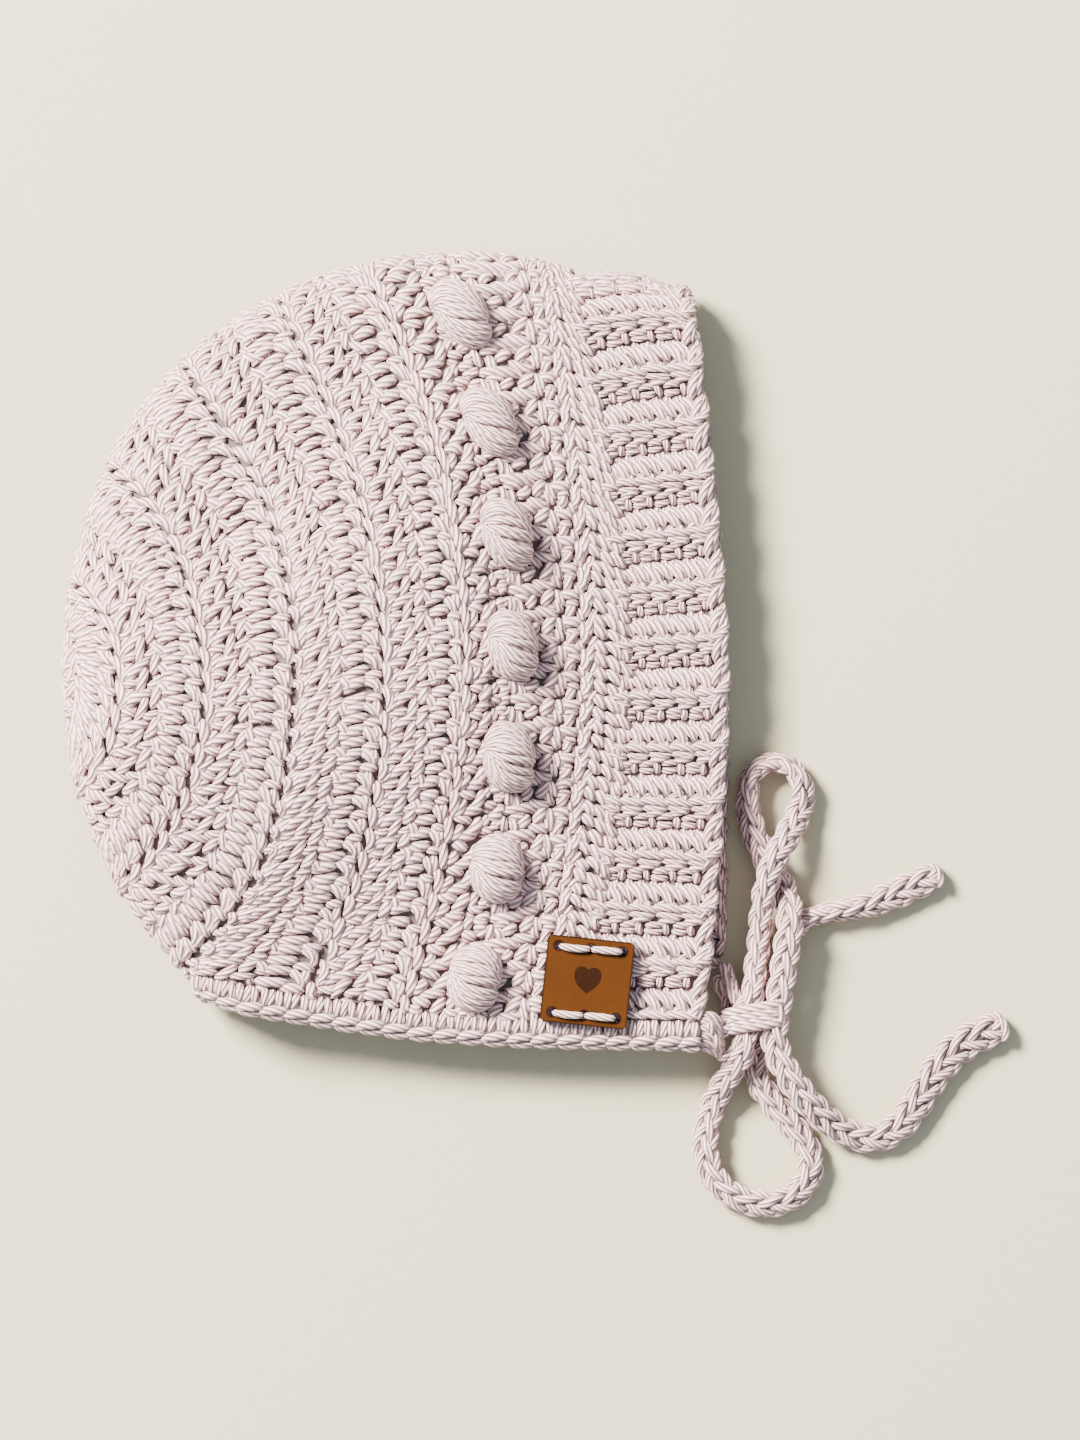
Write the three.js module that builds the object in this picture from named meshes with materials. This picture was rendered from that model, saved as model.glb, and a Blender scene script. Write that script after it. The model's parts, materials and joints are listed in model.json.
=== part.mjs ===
import * as THREE from 'three';

// A crocheted baby bonnet, folded flat on its side, face opening to +X, top fold to +Y, neck edge to -Y.
// All sizes are millimetres.

// The folded bonnet.
const bonnetDepth = 144;
const bonnetHeight = 173;
const crownLoft = 34;
const brimLoft = 15.5;
const foldRoundness = 0.6;
const farCornerRise = 17.7;
const farCornerForward = 5;

// The crocheted cloth.
const crownWall = 4;
const brimWall = 3.2;
const ribDepth = 1.4;
const ribCount = 14;
const ribPhase = 0.07;
const edgingWall = 3.8;
const neckEdgingWidth = 6;
const seamGap = 0.35;

// Bobbles, in one round on each side of the fold.
const bobbleCount = 7;
const bobbleWidth = 12.6;
const bobbleLength = 14.6;
const bobbleHeight = 5.4;
const bobbleRim = 1.4;
const bobbleNeckMargin = 8.6;
const bobbleFoldMargin = 14;
const farBobbleLift = 3.4;

// Leather tag.
const tagSide = 18.8;
const tagThickness = 1.6;
const tagCorner = 1.2;
const tagTurn = -6;
const tagFromFront = 25;
const tagFromNeck = 8.9;
const tagHoleRadius = 1;
const tagHoleInset = 2.2;
const tagHolePitch = 6.9;

// Ties and bow.
const tieDiameter = 5.4;
const tieSides = 8;
const tieStep = 5;
const knotLeft = 3.7;
const knotBottom = -2.1;
const knotWidth = 14.7;
const knotLength = 6.4;
const knotHeight = 11.6;
const knotBevel = 1.6;

// Where each round runs on the folded cloth, as shares [from the back to the front edge, from the neck
// edge to the top]: over the top fold, high, midway and low on the side, and at the neck edge, which for
// the first rounds is the back fold. full is how far the loft there rises from the brim's to the crown's.
// Rounds that a piece starts or ends on have a name.
const rounds = [
  { round: 0, fold: [0, 0.468], high: [0, 0.468], side: [0, 0.468], low: [0, 0.468], neck: [0, 0.468],
    full: { fold: 0.88, side: 0.88, neck: 0.88 } },
  { round: 0.5, fold: [0.006, 0.53], high: [0.018, 0.509], side: [0.024, 0.466], low: [0.018, 0.424],
    neck: [0.006, 0.403], full: { fold: 0.88, side: 0.9, neck: 0.88 } },
  { round: 1, fold: [0.013, 0.586], high: [0.07, 0.534], side: [0.088, 0.456], low: [0.069, 0.379],
    neck: [0.022, 0.324], full: { fold: 0.82, side: 0.96, neck: 0.82 } },
  { round: 2, fold: [0.067, 0.733], high: [0.175, 0.63], side: [0.22, 0.449], low: [0.178, 0.297],
    neck: [0.085, 0.2], full: { fold: 0.62, side: 1, neck: 0.62 } },
  { round: 3, fold: [0.18, 0.864], high: [0.316, 0.667], side: [0.355, 0.449], low: [0.301, 0.224],
    neck: [0.178, 0.094], full: { fold: 0.44, side: 1, neck: 0.3 }, name: 'last closed' },
  { round: 4, fold: [0.324, 0.946], high: [0.445, 0.711], side: [0.489, 0.455], low: [0.451, 0.231],
    neck: [0.37, 0.069], full: { fold: 0.32, side: 0.94, neck: 0.12 }, name: 'far slip' },
  { round: 5, fold: [0.456, 0.984], high: [0.568, 0.748], side: [0.609, 0.486], low: [0.577, 0.262],
    neck: [0.511, 0.052], full: { fold: 0.26, side: 0.78, neck: 0.06 } },
  { round: 6, fold: [0.571, 0.999], high: [0.649, 0.748], side: [0.672, 0.505], low: [0.657, 0.249],
    neck: [0.607, 0.045], full: { fold: 0.2, side: 0.54, neck: 0.05 }, name: 'bobbles' },
  { round: 7, fold: [0.696, 0.994], high: [0.733, 0.748], side: [0.754, 0.493], low: [0.733, 0.249],
    neck: [0.697, 0.041], full: { fold: 0.14, side: 0.3, neck: 0.03 } },
  { round: 8, fold: [0.757, 0.98], high: [0.814, 0.742], side: [0.844, 0.493], low: [0.817, 0.249],
    neck: [0.775, 0.039], full: { fold: 0.07, side: 0.14, neck: 0.02 }, name: 'brim start' },
  { round: 9, fold: [0.928, 0.955], high: [0.957, 0.742], side: [0.982, 0.493], low: [0.97, 0.249],
    neck: [0.946, 0.036], full: { fold: 0.01, side: 0.02, neck: 0 }, name: 'brim end' },
  { round: 9.13, fold: [0.946, 0.951], high: [0.975, 0.742], side: [1, 0.493], low: [0.988, 0.249],
    neck: [0.963, 0.034], full: { fold: 0, side: 0, neck: 0 }, name: 'front edge' },
];

const roundNamed = (name) => rounds.find((row) => row.name === name).round;
const lastClosedRound = roundNamed('last closed');
const farSlipStart = roundNamed('far slip');
const bobbleRound = roundNamed('bobbles');
const brimStart = roundNamed('brim start');
const brimEnd = roundNamed('brim end');
const frontEdge = roundNamed('front edge');

// The rounds that the crown's faces run on, up to the seam.
const crownRounds = [
  0, 0.25, 0.5, 0.75, 1, 1.4, 1.8, 2.2, 2.6, 3, 3.15, 3.4, 3.7, 4, 4.5, 5, 5.5, 6, 6.5, 7, 7.5,
];

// Where the near side sinks: shares of depth and height, reach and depth as shares of the crown's loft.
const dents = [
  { name: 'crease above the crown centre', at: [0.26, 0.65], reach: 0.36, depth: 0.1 },
  { name: 'hollow below the crown centre', at: [0.2, 0.3], reach: 0.5, depth: 0.06 },
  { name: 'sag behind the bobbles', at: [0.5, 0.36], reach: 0.7, depth: 0.05 },
];

// Half of the neck edging's section, from the cloth outwards: a row of stitches, a waist and a chain.
const neckEdgingSection = [
  { out: 0, half: 0.46 },
  { out: 0.5, half: 0.5 },
  { out: 0.62, half: 0.36 },
  { out: 0.8, half: 0.46 },
  { out: 1, half: 0.2 },
];

// Routes of the ties, from the near front corner of the cloth: across, up, and height above the table.
const nearStubRoute = [[0.4, -1.5, 9.6], [1.8, -1.4, 9.5], [3.3, -1.3, 9.4]];
const farStubRoute = [[4, 10, 2.8], [4.3, 8.5, 2.8], [5.4, 7.2, 2.8], [5.8, 5.5, 2.8]];
const upperLoopRoute = [
  [10.6, 5.1, 8.6], [11.3, 10.4, 7], [12.3, 18, 6], [12.8, 23.7, 6.9], [13.4, 27.7, 8.2],
  [14.1, 31.1, 8.7], [15.4, 34.8, 8.7], [17.7, 39.1, 7.4], [20.3, 43.9, 4.4], [21.9, 48.8, 2.9],
  [20.3, 54, 2.8], [15.8, 56.2, 2.8], [11.1, 54, 2.8], [9.8, 48.8, 2.8], [10.4, 43.4, 2.8],
  [12.1, 38.5, 2.8], [14.5, 33.9, 2.8], [16.6, 30.5, 3.2], [17.9, 27.7, 4.4], [18.7, 24.5, 6.8],
  [18.8, 21.2, 8.6], [18.2, 16.2, 8.7], [17.5, 11.5, 8.7], [16.5, 5.1, 8.6],
];
const lowerLoopRoute = [
  [9.3, -3.2, 8.6], [8.3, -7.3, 8.4], [5.2, -12.3, 6], [2.4, -17.7, 3.2], [0.9, -23.1, 2.8],
  [0.7, -28.5, 2.8], [2.6, -33.9, 2.8], [6.9, -37.8, 2.8], [12.3, -39.5, 2.8], [17.7, -38.9, 2.8],
  [21.6, -36, 2.8], [23.6, -31.3, 2.8], [22.5, -26.8, 2.8], [19, -21.8, 2.8], [14.7, -16.8, 2.8],
  [11.9, -12.3, 2.8], [11.3, -7.5, 2.8], [11.7, -2.9, 2.8],
];
const upperTailRoute = [
  [14.7, 5.4, 2.8], [16, 10.4, 2.8], [18.4, 15.8, 2.8], [20.1, 20.1, 2.8], [23.6, 22.7, 2.8],
  [28.8, 24, 2.8], [34.4, 24.9, 2.8], [39.6, 26.6, 2.8], [44.3, 28.8, 2.8], [48.2, 30.7, 2.8],
  [50.8, 31.8, 2.8],
];
const lowerTailRoute = [
  [15.4, -3.1, 8.6], [16.4, -7.1, 8.8], [18.8, -11.9, 8.8], [22.3, -16.6, 8], [26.2, -20.7, 6],
  [30.9, -24, 3.6], [36.1, -25.2, 2.8], [41.3, -23.7, 2.8], [45, -19.8, 2.8], [48, -14.9, 2.8],
  [51.4, -9.9, 2.8], [55.5, -5.6, 2.8], [60.3, -2.8, 2.8], [64.6, -1.1, 2.8],
];

// Materials.
const yarn = new THREE.MeshStandardMaterial({ color: 0xdfd0d2, roughness: 0.85, metalness: 0 });
const bobbleYarn = new THREE.MeshStandardMaterial({ color: 0xe2d6d6, roughness: 0.8, metalness: 0 });
const leather = new THREE.MeshStandardMaterial({ color: 0xb5713a, roughness: 0.6, metalness: 0 });

// The value of a table column at any round, on a smooth curve through the rows. The curve may have a
// corner at one row.
function columnAt(round, read, corner = null) {
  let row = 0;
  while (row < rounds.length - 2 && round > rounds[row + 1].round) {
    row += 1;
  }
  const from = rounds[row];
  const to = rounds[row + 1];
  const before = from.round === corner ? from : rounds[Math.max(row - 1, 0)];
  const after = to.round === corner ? to : rounds[Math.min(row + 2, rounds.length - 1)];
  const span = to.round - from.round;
  const share = (round - from.round) / span;
  const slopeFrom = (read(to) - read(before)) / (to.round - before.round) * span;
  const slopeTo = (read(after) - read(from)) / (after.round - from.round) * span;
  const square = share * share;
  const cube = square * share;
  return (2 * cube - 3 * square + 1) * read(from) + (cube - 2 * square + share) * slopeFrom
    + (3 * square - 2 * cube) * read(to) + (cube - square) * slopeTo;
}

function placeAt(round, column) {
  const corner = column === 'neck' ? lastClosedRound : null;
  return new THREE.Vector2(
    columnAt(round, (row) => row[column][0], corner) * bonnetDepth,
    columnAt(round, (row) => row[column][1], corner) * bonnetHeight,
  );
}

// The plan of one round from the neck edge to the top fold. The far layer's front corner lies further
// forward and higher than the near one's.
const planCurves = new Map();

function planCurve(round, far) {
  const key = `${round} ${far}`;
  if (!planCurves.has(key)) {
    const places = ['neck', 'low', 'side', 'high', 'fold'].map((column) => placeAt(round, column));
    if (far) {
      const slip = THREE.MathUtils.smoothstep(round, farSlipStart, frontEdge);
      const shift = new THREE.Vector2(farCornerForward * slip, farCornerRise * slip);
      places[0].add(shift);
      places[1].addScaledVector(shift, 0.3);
    }
    planCurves.set(key, new THREE.SplineCurve(places));
  }
  return planCurves.get(key);
}

// The fold's line in plan, from below the back corner round the crown to past the front of the top fold.
function foldLine() {
  const backCorner = placeAt(lastClosedRound, 'neck');
  const aboveCorner = placeAt(lastClosedRound - 0.5, 'neck');
  const onward = backCorner.clone().sub(aboveCorner).normalize();
  const line = [backCorner.clone().addScaledVector(onward, bonnetDepth / 2)];
  for (let round = lastClosedRound; round > 0; round -= 0.125) {
    line.push(placeAt(round, 'neck'));
  }
  for (let round = 0; round <= frontEdge; round += 0.125) {
    line.push(placeAt(round, 'fold'));
  }
  line.push(line[line.length - 1].clone().add(new THREE.Vector2(bonnetDepth / 2, 0)));
  return line;
}

const fold = foldLine();

function distanceToFold(place) {
  let nearest = Infinity;
  for (let i = 1; i < fold.length; i += 1) {
    const start = fold[i - 1];
    const along = fold[i].clone().sub(start);
    const reach = place.clone().sub(start);
    const share = THREE.MathUtils.clamp(reach.dot(along) / along.lengthSq(), 0, 1);
    nearest = Math.min(nearest, reach.addScaledVector(along, -share).length());
  }
  return nearest;
}

function loftAt(round, share) {
  const full = (column) => columnAt(round, (row) => row.full[column]);
  const side = full('side');
  const fromNeck = THREE.MathUtils.smoothstep(share, 0, 0.42);
  const toFold = THREE.MathUtils.smoothstep(share, 0.58, 1);
  const fullness = full('neck') * (1 - fromNeck) + side * (fromNeck - toFold) + full('fold') * toFold;
  return brimLoft + (crownLoft - brimLoft) * fullness;
}

function dentAt(place) {
  let depth = 0;
  for (const dent of dents) {
    const centre = new THREE.Vector2(dent.at[0] * bonnetDepth, dent.at[1] * bonnetHeight);
    const spread = place.distanceTo(centre) / (dent.reach * crownLoft);
    depth += dent.depth * crownLoft * Math.exp(-spread * spread);
  }
  return depth;
}

// A point of the cloth's outer face. around runs from 0 at the near neck edge to 1 at the top fold and
// on to 2 at the far neck edge.
function outerPoint(round, around) {
  const far = around > 1;
  const share = far ? 2 - around : around;
  const plan = planCurve(round, far).getPointAt(share);
  const loft = loftAt(round, share);
  const onFold = share === 1 || round === 0 || (share === 0 && round <= lastClosedRound);
  const depthIn = onFold ? 0 : Math.min(distanceToFold(plan) / (foldRoundness * loft), 1);
  const rise = Math.sqrt(1 - (1 - depthIn) ** 2);
  let height = loft / 2 * (far ? 1 - rise : 1 + rise);
  if (far) {
    const step = Math.abs(round - bobbleRound);
    height += farBobbleLift * rise * (1 - THREE.MathUtils.smoothstep(step, 0.75, 1.8));
  } else {
    height -= dentAt(plan) * rise;
  }
  return new THREE.Vector3(plan.x, plan.y, height);
}

function outwardNormal(round, around) {
  if (round === 0) {
    return new THREE.Vector3(-1, 0, 0);
  }
  const roundStep = 0.01;
  const aroundStep = 0.002;
  const closed = round <= lastClosedRound;
  const across = outerPoint(Math.min(round + roundStep, closed ? lastClosedRound : frontEdge), around)
    .sub(outerPoint(Math.max(round - roundStep, roundStep), around));
  let ahead = around + aroundStep;
  let behind = around - aroundStep;
  if (ahead > 2) {
    ahead = closed ? ahead - 2 : 2;
  }
  if (behind < 0) {
    behind = closed ? behind + 2 : 0;
  }
  const along = outerPoint(round, ahead).sub(outerPoint(round, behind));
  return across.cross(along).normalize();
}

// Shares of a round from neck edge to fold, closer together where the fold turns.
function foldedShares(round, turns, flats) {
  const length = planCurve(round, false).getLength();
  const neckTurn = round <= lastClosedRound + 1 ? 1 : 0.5;
  const reachAt = (share) => Math.min(foldRoundness * loftAt(round, share) / length, 0.36);
  const foldReach = reachAt(1);
  const neckReach = reachAt(0) * neckTurn;
  const shares = [];
  for (let i = 0; i < turns; i += 1) {
    shares.push(neckReach * (1 - Math.cos(Math.PI / 2 * i / turns)));
  }
  for (let i = 0; i <= flats; i += 1) {
    shares.push(neckReach + (1 - foldReach - neckReach) * i / flats);
  }
  for (let i = turns - 1; i >= 0; i -= 1) {
    shares.push(1 - foldReach * (1 - Math.cos(Math.PI / 2 * i / turns)));
  }
  return shares;
}

function bothSides(shares) {
  const back = shares.slice(0, -1).reverse().map((share) => 2 - share);
  return [...shares, ...back];
}

// A walled piece of the folded cloth. sharesAt gives the places round each listed round, insetAt how far
// its outer face lies inside the cloth's, and wallAt its thickness.
function clothGeometry({ roundList, sharesAt, insetAt, wallAt }) {
  const corners = [];
  const grid = roundList.map((round) => {
    const arounds = bothSides(sharesAt(round));
    return arounds.map((around, place) => {
      const onPole = round === 0 && place > 0;
      const onSeam = round <= lastClosedRound && place === arounds.length - 1;
      if (onPole || onSeam) {
        return null;
      }
      const normal = outwardNormal(round, around);
      const point = outerPoint(round, around);
      const inset = insetAt(round, around);
      const wall = wallAt(round, around);
      corners.push(point.clone().addScaledVector(normal, -inset));
      corners.push(point.clone().addScaledVector(normal, -inset - wall));
      return corners.length - 2;
    });
  });
  const last = grid[0].length - 1;
  const outer = (i, j) => grid[i][j] ?? grid[i][0];
  const inner = (i, j) => outer(i, j) + 1;
  const faces = [];
  const quad = (a, b, c, d) => {
    if (a !== b && c !== a) {
      faces.push([a, b, c]);
    }
    if (a !== d && c !== d) {
      faces.push([a, c, d]);
    }
  };
  for (let i = 0; i < grid.length - 1; i += 1) {
    for (let j = 0; j < last; j += 1) {
      quad(outer(i, j), outer(i + 1, j), outer(i + 1, j + 1), outer(i, j + 1));
      quad(inner(i, j + 1), inner(i + 1, j + 1), inner(i + 1, j), inner(i, j));
    }
    if (roundList[i + 1] > lastClosedRound) {
      quad(outer(i + 1, 0), outer(i, 0), inner(i, 0), inner(i + 1, 0));
      quad(outer(i, last), outer(i + 1, last), inner(i + 1, last), inner(i, last));
    }
  }
  const front = grid.length - 1;
  for (let j = 0; j < last; j += 1) {
    quad(outer(front, j + 1), outer(front, j), inner(front, j), inner(front, j + 1));
    if (roundList[0] > 0) {
      quad(outer(0, j), outer(0, j + 1), inner(0, j + 1), inner(0, j));
    }
  }
  return solidGeometry(corners, faces);
}

function solidGeometry(corners, faces) {
  const geometry = new THREE.BufferGeometry();
  geometry.setAttribute('position', new THREE.Float32BufferAttribute(corners.flatMap((c) => c.toArray()), 3));
  geometry.setIndex(faces.flat());
  geometry.computeVertexNormals();
  return geometry;
}

// How many rounds the seam's gap takes at one place of a seam.
function seamShare(round) {
  const width = outerPoint(round + 0.1, 0.5).distanceTo(outerPoint(round - 0.1, 0.5)) / 0.2;
  return seamGap / width;
}

function crownGeometry() {
  const end = brimStart - seamShare(brimStart);
  return clothGeometry({
    roundList: [...crownRounds, end],
    sharesAt: (round) => foldedShares(round, 4, 8),
    insetAt: () => 0,
    wallAt: () => crownWall,
  });
}

function brimShares(round) {
  const foldReach = foldRoundness * loftAt(round, 1) / planCurve(round, false).getLength();
  const perRib = 4;
  const shares = [];
  for (let i = 0; i / (perRib * ribCount) < 1 - foldReach - 0.3 / ribCount; i += 1) {
    shares.push(i / (perRib * ribCount));
  }
  for (const angle of [90, 60, 30, 0]) {
    shares.push(1 - foldReach * (1 - Math.cos(THREE.MathUtils.degToRad(angle))));
  }
  return shares;
}

function brimGeometry() {
  const start = brimStart;
  const end = brimEnd - seamShare(brimEnd) / 2;
  const ribInset = (round, around) => {
    const share = around > 1 ? 2 - around : around;
    return ribDepth * (0.5 - 0.5 * Math.cos(2 * Math.PI * (share * ribCount - ribPhase)));
  };
  // The same shares on every round, so that the ribs run straight from the seam to the front.
  const shares = brimShares((start + end) / 2);
  return clothGeometry({
    roundList: [start, start + 0.33, start + 0.66, end],
    sharesAt: () => shares,
    insetAt: ribInset,
    wallAt: () => brimWall,
  });
}

function frontEdgingGeometry() {
  const start = brimEnd + seamShare(brimEnd) / 2;
  const section = [
    { at: start, inset: 0.5, wall: 0.8 },
    { at: brimEnd + 0.05, inset: 0, wall: 1 },
    { at: brimEnd + 0.1, inset: 0.2, wall: 0.9 },
    { at: frontEdge, inset: 0.9, wall: 0.5 },
  ];
  const row = (round) => section.find((entry) => entry.at === round);
  return clothGeometry({
    roundList: section.map((entry) => entry.at),
    sharesAt: (round) => foldedShares(round, 3, 14),
    insetAt: (round) => row(round).inset,
    wallAt: (round) => row(round).wall * edgingWall,
  });
}

// The neck edge of the cloth: past is how many rounds lie between a place and the back corner, above
// zero on the near side and below zero on the far side.
function neckEdgePoint(past) {
  return outerPoint(lastClosedRound + Math.abs(past), past < 0 ? 2 : 0);
}

function neckStation(past) {
  const step = 0.02;
  const reach = frontEdge - lastClosedRound;
  const along = neckEdgePoint(Math.min(past + step, reach)).sub(neckEdgePoint(Math.max(past - step, -reach)));
  const normal = outwardNormal(lastClosedRound + Math.abs(past), past < 0 ? 2 : 0);
  const away = along.normalize().cross(normal).normalize();
  const middle = neckEdgePoint(past).addScaledVector(normal, -crownWall / 2);
  return { middle, normal, away };
}

function neckEdgingGeometry() {
  const nearRounds = [...crownRounds.filter((round) => round >= lastClosedRound), brimStart, brimEnd, frontEdge];
  const nearPasts = nearRounds.map((round) => round - lastClosedRound);
  const farPasts = nearPasts.slice(1).reverse().map((past) => -past);
  const stations = [...farPasts, ...nearPasts].map(neckStation);
  const upper = neckEdgingSection.map((row) => new THREE.Vector2(row.out, row.half));
  const lower = upper.slice().reverse().map((corner) => new THREE.Vector2(corner.x, -corner.y));
  const section = [...upper, ...lower];
  const corners = [];
  for (const { middle, normal, away } of stations) {
    for (const corner of section) {
      corners.push(middle.clone()
        .addScaledVector(away, seamGap + corner.x * neckEdgingWidth)
        .addScaledVector(normal, corner.y * edgingWall));
    }
  }
  const count = section.length;
  const faces = [];
  for (let i = 0; i < stations.length - 1; i += 1) {
    for (let j = 0; j < count; j += 1) {
      const a = i * count + j;
      const b = i * count + (j + 1) % count;
      faces.push([a, b, b + count], [a, b + count, a + count]);
    }
  }
  const lastStart = (stations.length - 1) * count;
  for (let i = 1; i < count / 2; i += 1) {
    const [a, b, c, d] = [i - 1, i, count - 1 - i, count - i];
    faces.push([a, c, b], [a, d, c]);
    faces.push([lastStart + a, lastStart + b, lastStart + c], [lastStart + a, lastStart + c, lastStart + d]);
  }
  return solidGeometry(corners, turnedOut(corners, faces));
}

// Faces in the order that gives the solid a positive volume.
function turnedOut(corners, faces) {
  let volume = 0;
  for (const [a, b, c] of faces) {
    volume += corners[a].dot(corners[b].clone().cross(corners[c]));
  }
  return volume > 0 ? faces : faces.map((face) => face.slice().reverse());
}

// A bobble is a low dome on the cloth; those on the far side are pressed flat against the table.
function bobbleGeometry(centre) {
  const acrossLength = outerPoint(bobbleRound + 0.2, centre)
    .distanceTo(outerPoint(bobbleRound - 0.2, centre)) / 0.4;
  const alongLength = planCurve(bobbleRound, centre > 1).getLength();
  const far = centre > 1;
  const rings = [
    { reach: 0, lift: 1 },
    { reach: 0.45, lift: 0.9 },
    { reach: 0.8, lift: 0.52 },
    { reach: 1, lift: 0 },
  ];
  const sides = 12;
  const corners = [];
  const addCorner = (reach, turn, lift) => {
    const round = bobbleRound + reach * Math.cos(turn) * bobbleWidth / 2 / acrossLength;
    const around = centre + reach * Math.sin(turn) * bobbleLength / 2 / alongLength;
    const corner = outerPoint(round, around).addScaledVector(outwardNormal(round, around), lift);
    corner.z = Math.max(corner.z, 0);
    corners.push(corner);
  };
  const rise = far ? farBobbleLift - seamGap : bobbleHeight;
  const rim = Math.min(bobbleRim, rise);
  addCorner(0, 0, seamGap + rise);
  addCorner(0, 0, seamGap);
  for (const ring of rings.slice(1)) {
    for (let i = 0; i < sides; i += 1) {
      addCorner(ring.reach, 2 * Math.PI * i / sides, seamGap + rim + (rise - rim) * ring.lift);
    }
  }
  const baseStart = corners.length;
  for (const reach of [0.55, 1]) {
    for (let i = 0; i < sides; i += 1) {
      addCorner(reach, 2 * Math.PI * i / sides, seamGap);
    }
  }
  const topRing = (ring, i) => 2 + (ring - 1) * sides + i % sides;
  const baseRing = (ring, i) => baseStart + (ring - 1) * sides + i % sides;
  const faces = [];
  for (let i = 0; i < sides; i += 1) {
    faces.push([0, topRing(1, i), topRing(1, i + 1)]);
    for (const ring of [1, 2]) {
      faces.push([topRing(ring, i), topRing(ring + 1, i), topRing(ring + 1, i + 1)]);
      faces.push([topRing(ring, i), topRing(ring + 1, i + 1), topRing(ring, i + 1)]);
    }
    faces.push([topRing(3, i), baseRing(2, i), baseRing(2, i + 1)]);
    faces.push([topRing(3, i), baseRing(2, i + 1), topRing(3, i + 1)]);
    faces.push([baseRing(2, i), baseRing(1, i), baseRing(1, i + 1)]);
    faces.push([baseRing(2, i), baseRing(1, i + 1), baseRing(2, i + 1)]);
    faces.push([baseRing(1, i), 1, baseRing(1, i + 1)]);
  }
  return solidGeometry(corners, turnedOut(corners, faces));
}

function bobbleMeshes() {
  const meshes = [];
  for (const far of [false, true]) {
    const length = planCurve(bobbleRound, far).getLength();
    const pitch = (length - bobbleNeckMargin - bobbleFoldMargin) / (bobbleCount - 1);
    for (let i = 0; i < bobbleCount; i += 1) {
      const share = (bobbleNeckMargin + i * pitch) / length;
      const name = `${far ? 'far' : 'near'}_bobble_${i + 1}`;
      meshes.push(namedMesh(name, bobbleGeometry(far ? 2 - share : share), bobbleYarn));
    }
  }
  return meshes;
}

// The tag lies on the cloth near the front corner, above every bit of cloth under it.
function tagMesh() {
  const half = tagSide / 2;
  const shape = new THREE.Shape();
  const corner = half - tagCorner;
  const quarter = Math.PI / 2;
  shape.absarc(corner, corner, tagCorner, 0, quarter, false);
  shape.absarc(-corner, corner, tagCorner, quarter, 2 * quarter, false);
  shape.absarc(-corner, -corner, tagCorner, 2 * quarter, 3 * quarter, false);
  shape.absarc(corner, -corner, tagCorner, 3 * quarter, 4 * quarter, false);
  for (const side of [-1, 1]) {
    for (const place of [-1, 0, 1]) {
      const hole = new THREE.Path();
      hole.absarc(place * tagHolePitch, side * (half - tagHoleInset), tagHoleRadius, 0, 2 * Math.PI, true);
      shape.holes.push(hole);
    }
  }
  const geometry = new THREE.ExtrudeGeometry(shape, {
    depth: tagThickness, bevelEnabled: false, curveSegments: 5,
  });
  const base = outerPoint(frontEdge, 0);
  const centre = new THREE.Vector2(base.x - tagFromFront, base.y + tagFromNeck);
  const right = new THREE.Vector2(1, 0).rotateAround(new THREE.Vector2(), THREE.MathUtils.degToRad(tagTurn));
  const covered = [];
  const up = new THREE.Vector3();
  for (let round = bobbleRound; round <= frontEdge; round += 0.1) {
    for (let around = 0; around < 0.3; around += 0.01) {
      const point = outerPoint(round, around);
      const from = new THREE.Vector2(point.x, point.y).sub(centre);
      if (Math.max(Math.abs(from.dot(right)), Math.abs(from.cross(right))) < half + 1) {
        covered.push(point);
        up.add(outwardNormal(round, around));
      }
    }
  }
  up.normalize();
  const seat = Math.max(...covered.map((point) => point.dot(up))) + seamGap;
  const height = (seat - centre.x * up.x - centre.y * up.y) / up.z;
  const across = new THREE.Vector3(right.x, right.y, 0);
  across.addScaledVector(up, -across.dot(up)).normalize();
  const mesh = namedMesh('leather_tag', geometry, leather);
  mesh.position.set(centre.x, centre.y, height);
  mesh.quaternion.setFromRotationMatrix(new THREE.Matrix4().makeBasis(across, up.clone().cross(across), up));
  return mesh;
}

function tieGeometry(route) {
  const path = new THREE.CatmullRomCurve3(route.map((place) => new THREE.Vector3(...place)), false, 'centripetal');
  const section = new THREE.Shape();
  for (let i = 0; i < tieSides; i += 1) {
    const turn = 2 * Math.PI * i / tieSides;
    const corner = [tieDiameter / 2 * Math.cos(turn), tieDiameter / 2 * Math.sin(turn)];
    if (i === 0) {
      section.moveTo(...corner);
    } else {
      section.lineTo(...corner);
    }
  }
  section.closePath();
  const steps = Math.max(1, Math.round(path.getLength() / tieStep));
  return new THREE.ExtrudeGeometry(section, { steps, bevelEnabled: false, extrudePath: path });
}

function knotGeometry() {
  const outline = new THREE.Shape();
  const [left, bottom] = [knotLeft + knotBevel, knotBottom + knotBevel];
  const [right, top] = [knotLeft + knotWidth - knotBevel, knotBottom + knotLength - knotBevel];
  outline.moveTo(left, bottom);
  outline.lineTo(right, bottom);
  outline.lineTo(right, top);
  outline.lineTo(left, top);
  outline.closePath();
  const geometry = new THREE.ExtrudeGeometry(outline, {
    depth: knotHeight - 2 * knotBevel, bevelThickness: knotBevel, bevelSize: knotBevel, bevelSegments: 2,
  });
  return geometry.translate(0, 0, knotBevel);
}

function bowGroup() {
  const bow = new THREE.Group();
  const corner = outerPoint(frontEdge, 0);
  bow.position.set(corner.x, corner.y, 0);
  const routes = {
    near_tie_stub: nearStubRoute,
    far_tie_stub: farStubRoute,
    upper_loop: upperLoopRoute,
    lower_loop: lowerLoopRoute,
    upper_tail: upperTailRoute,
    lower_tail: lowerTailRoute,
  };
  for (const [name, route] of Object.entries(routes)) {
    bow.add(namedMesh(name, tieGeometry(route), yarn));
  }
  bow.add(namedMesh('bow_knot', knotGeometry(), yarn));
  return bow;
}

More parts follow.
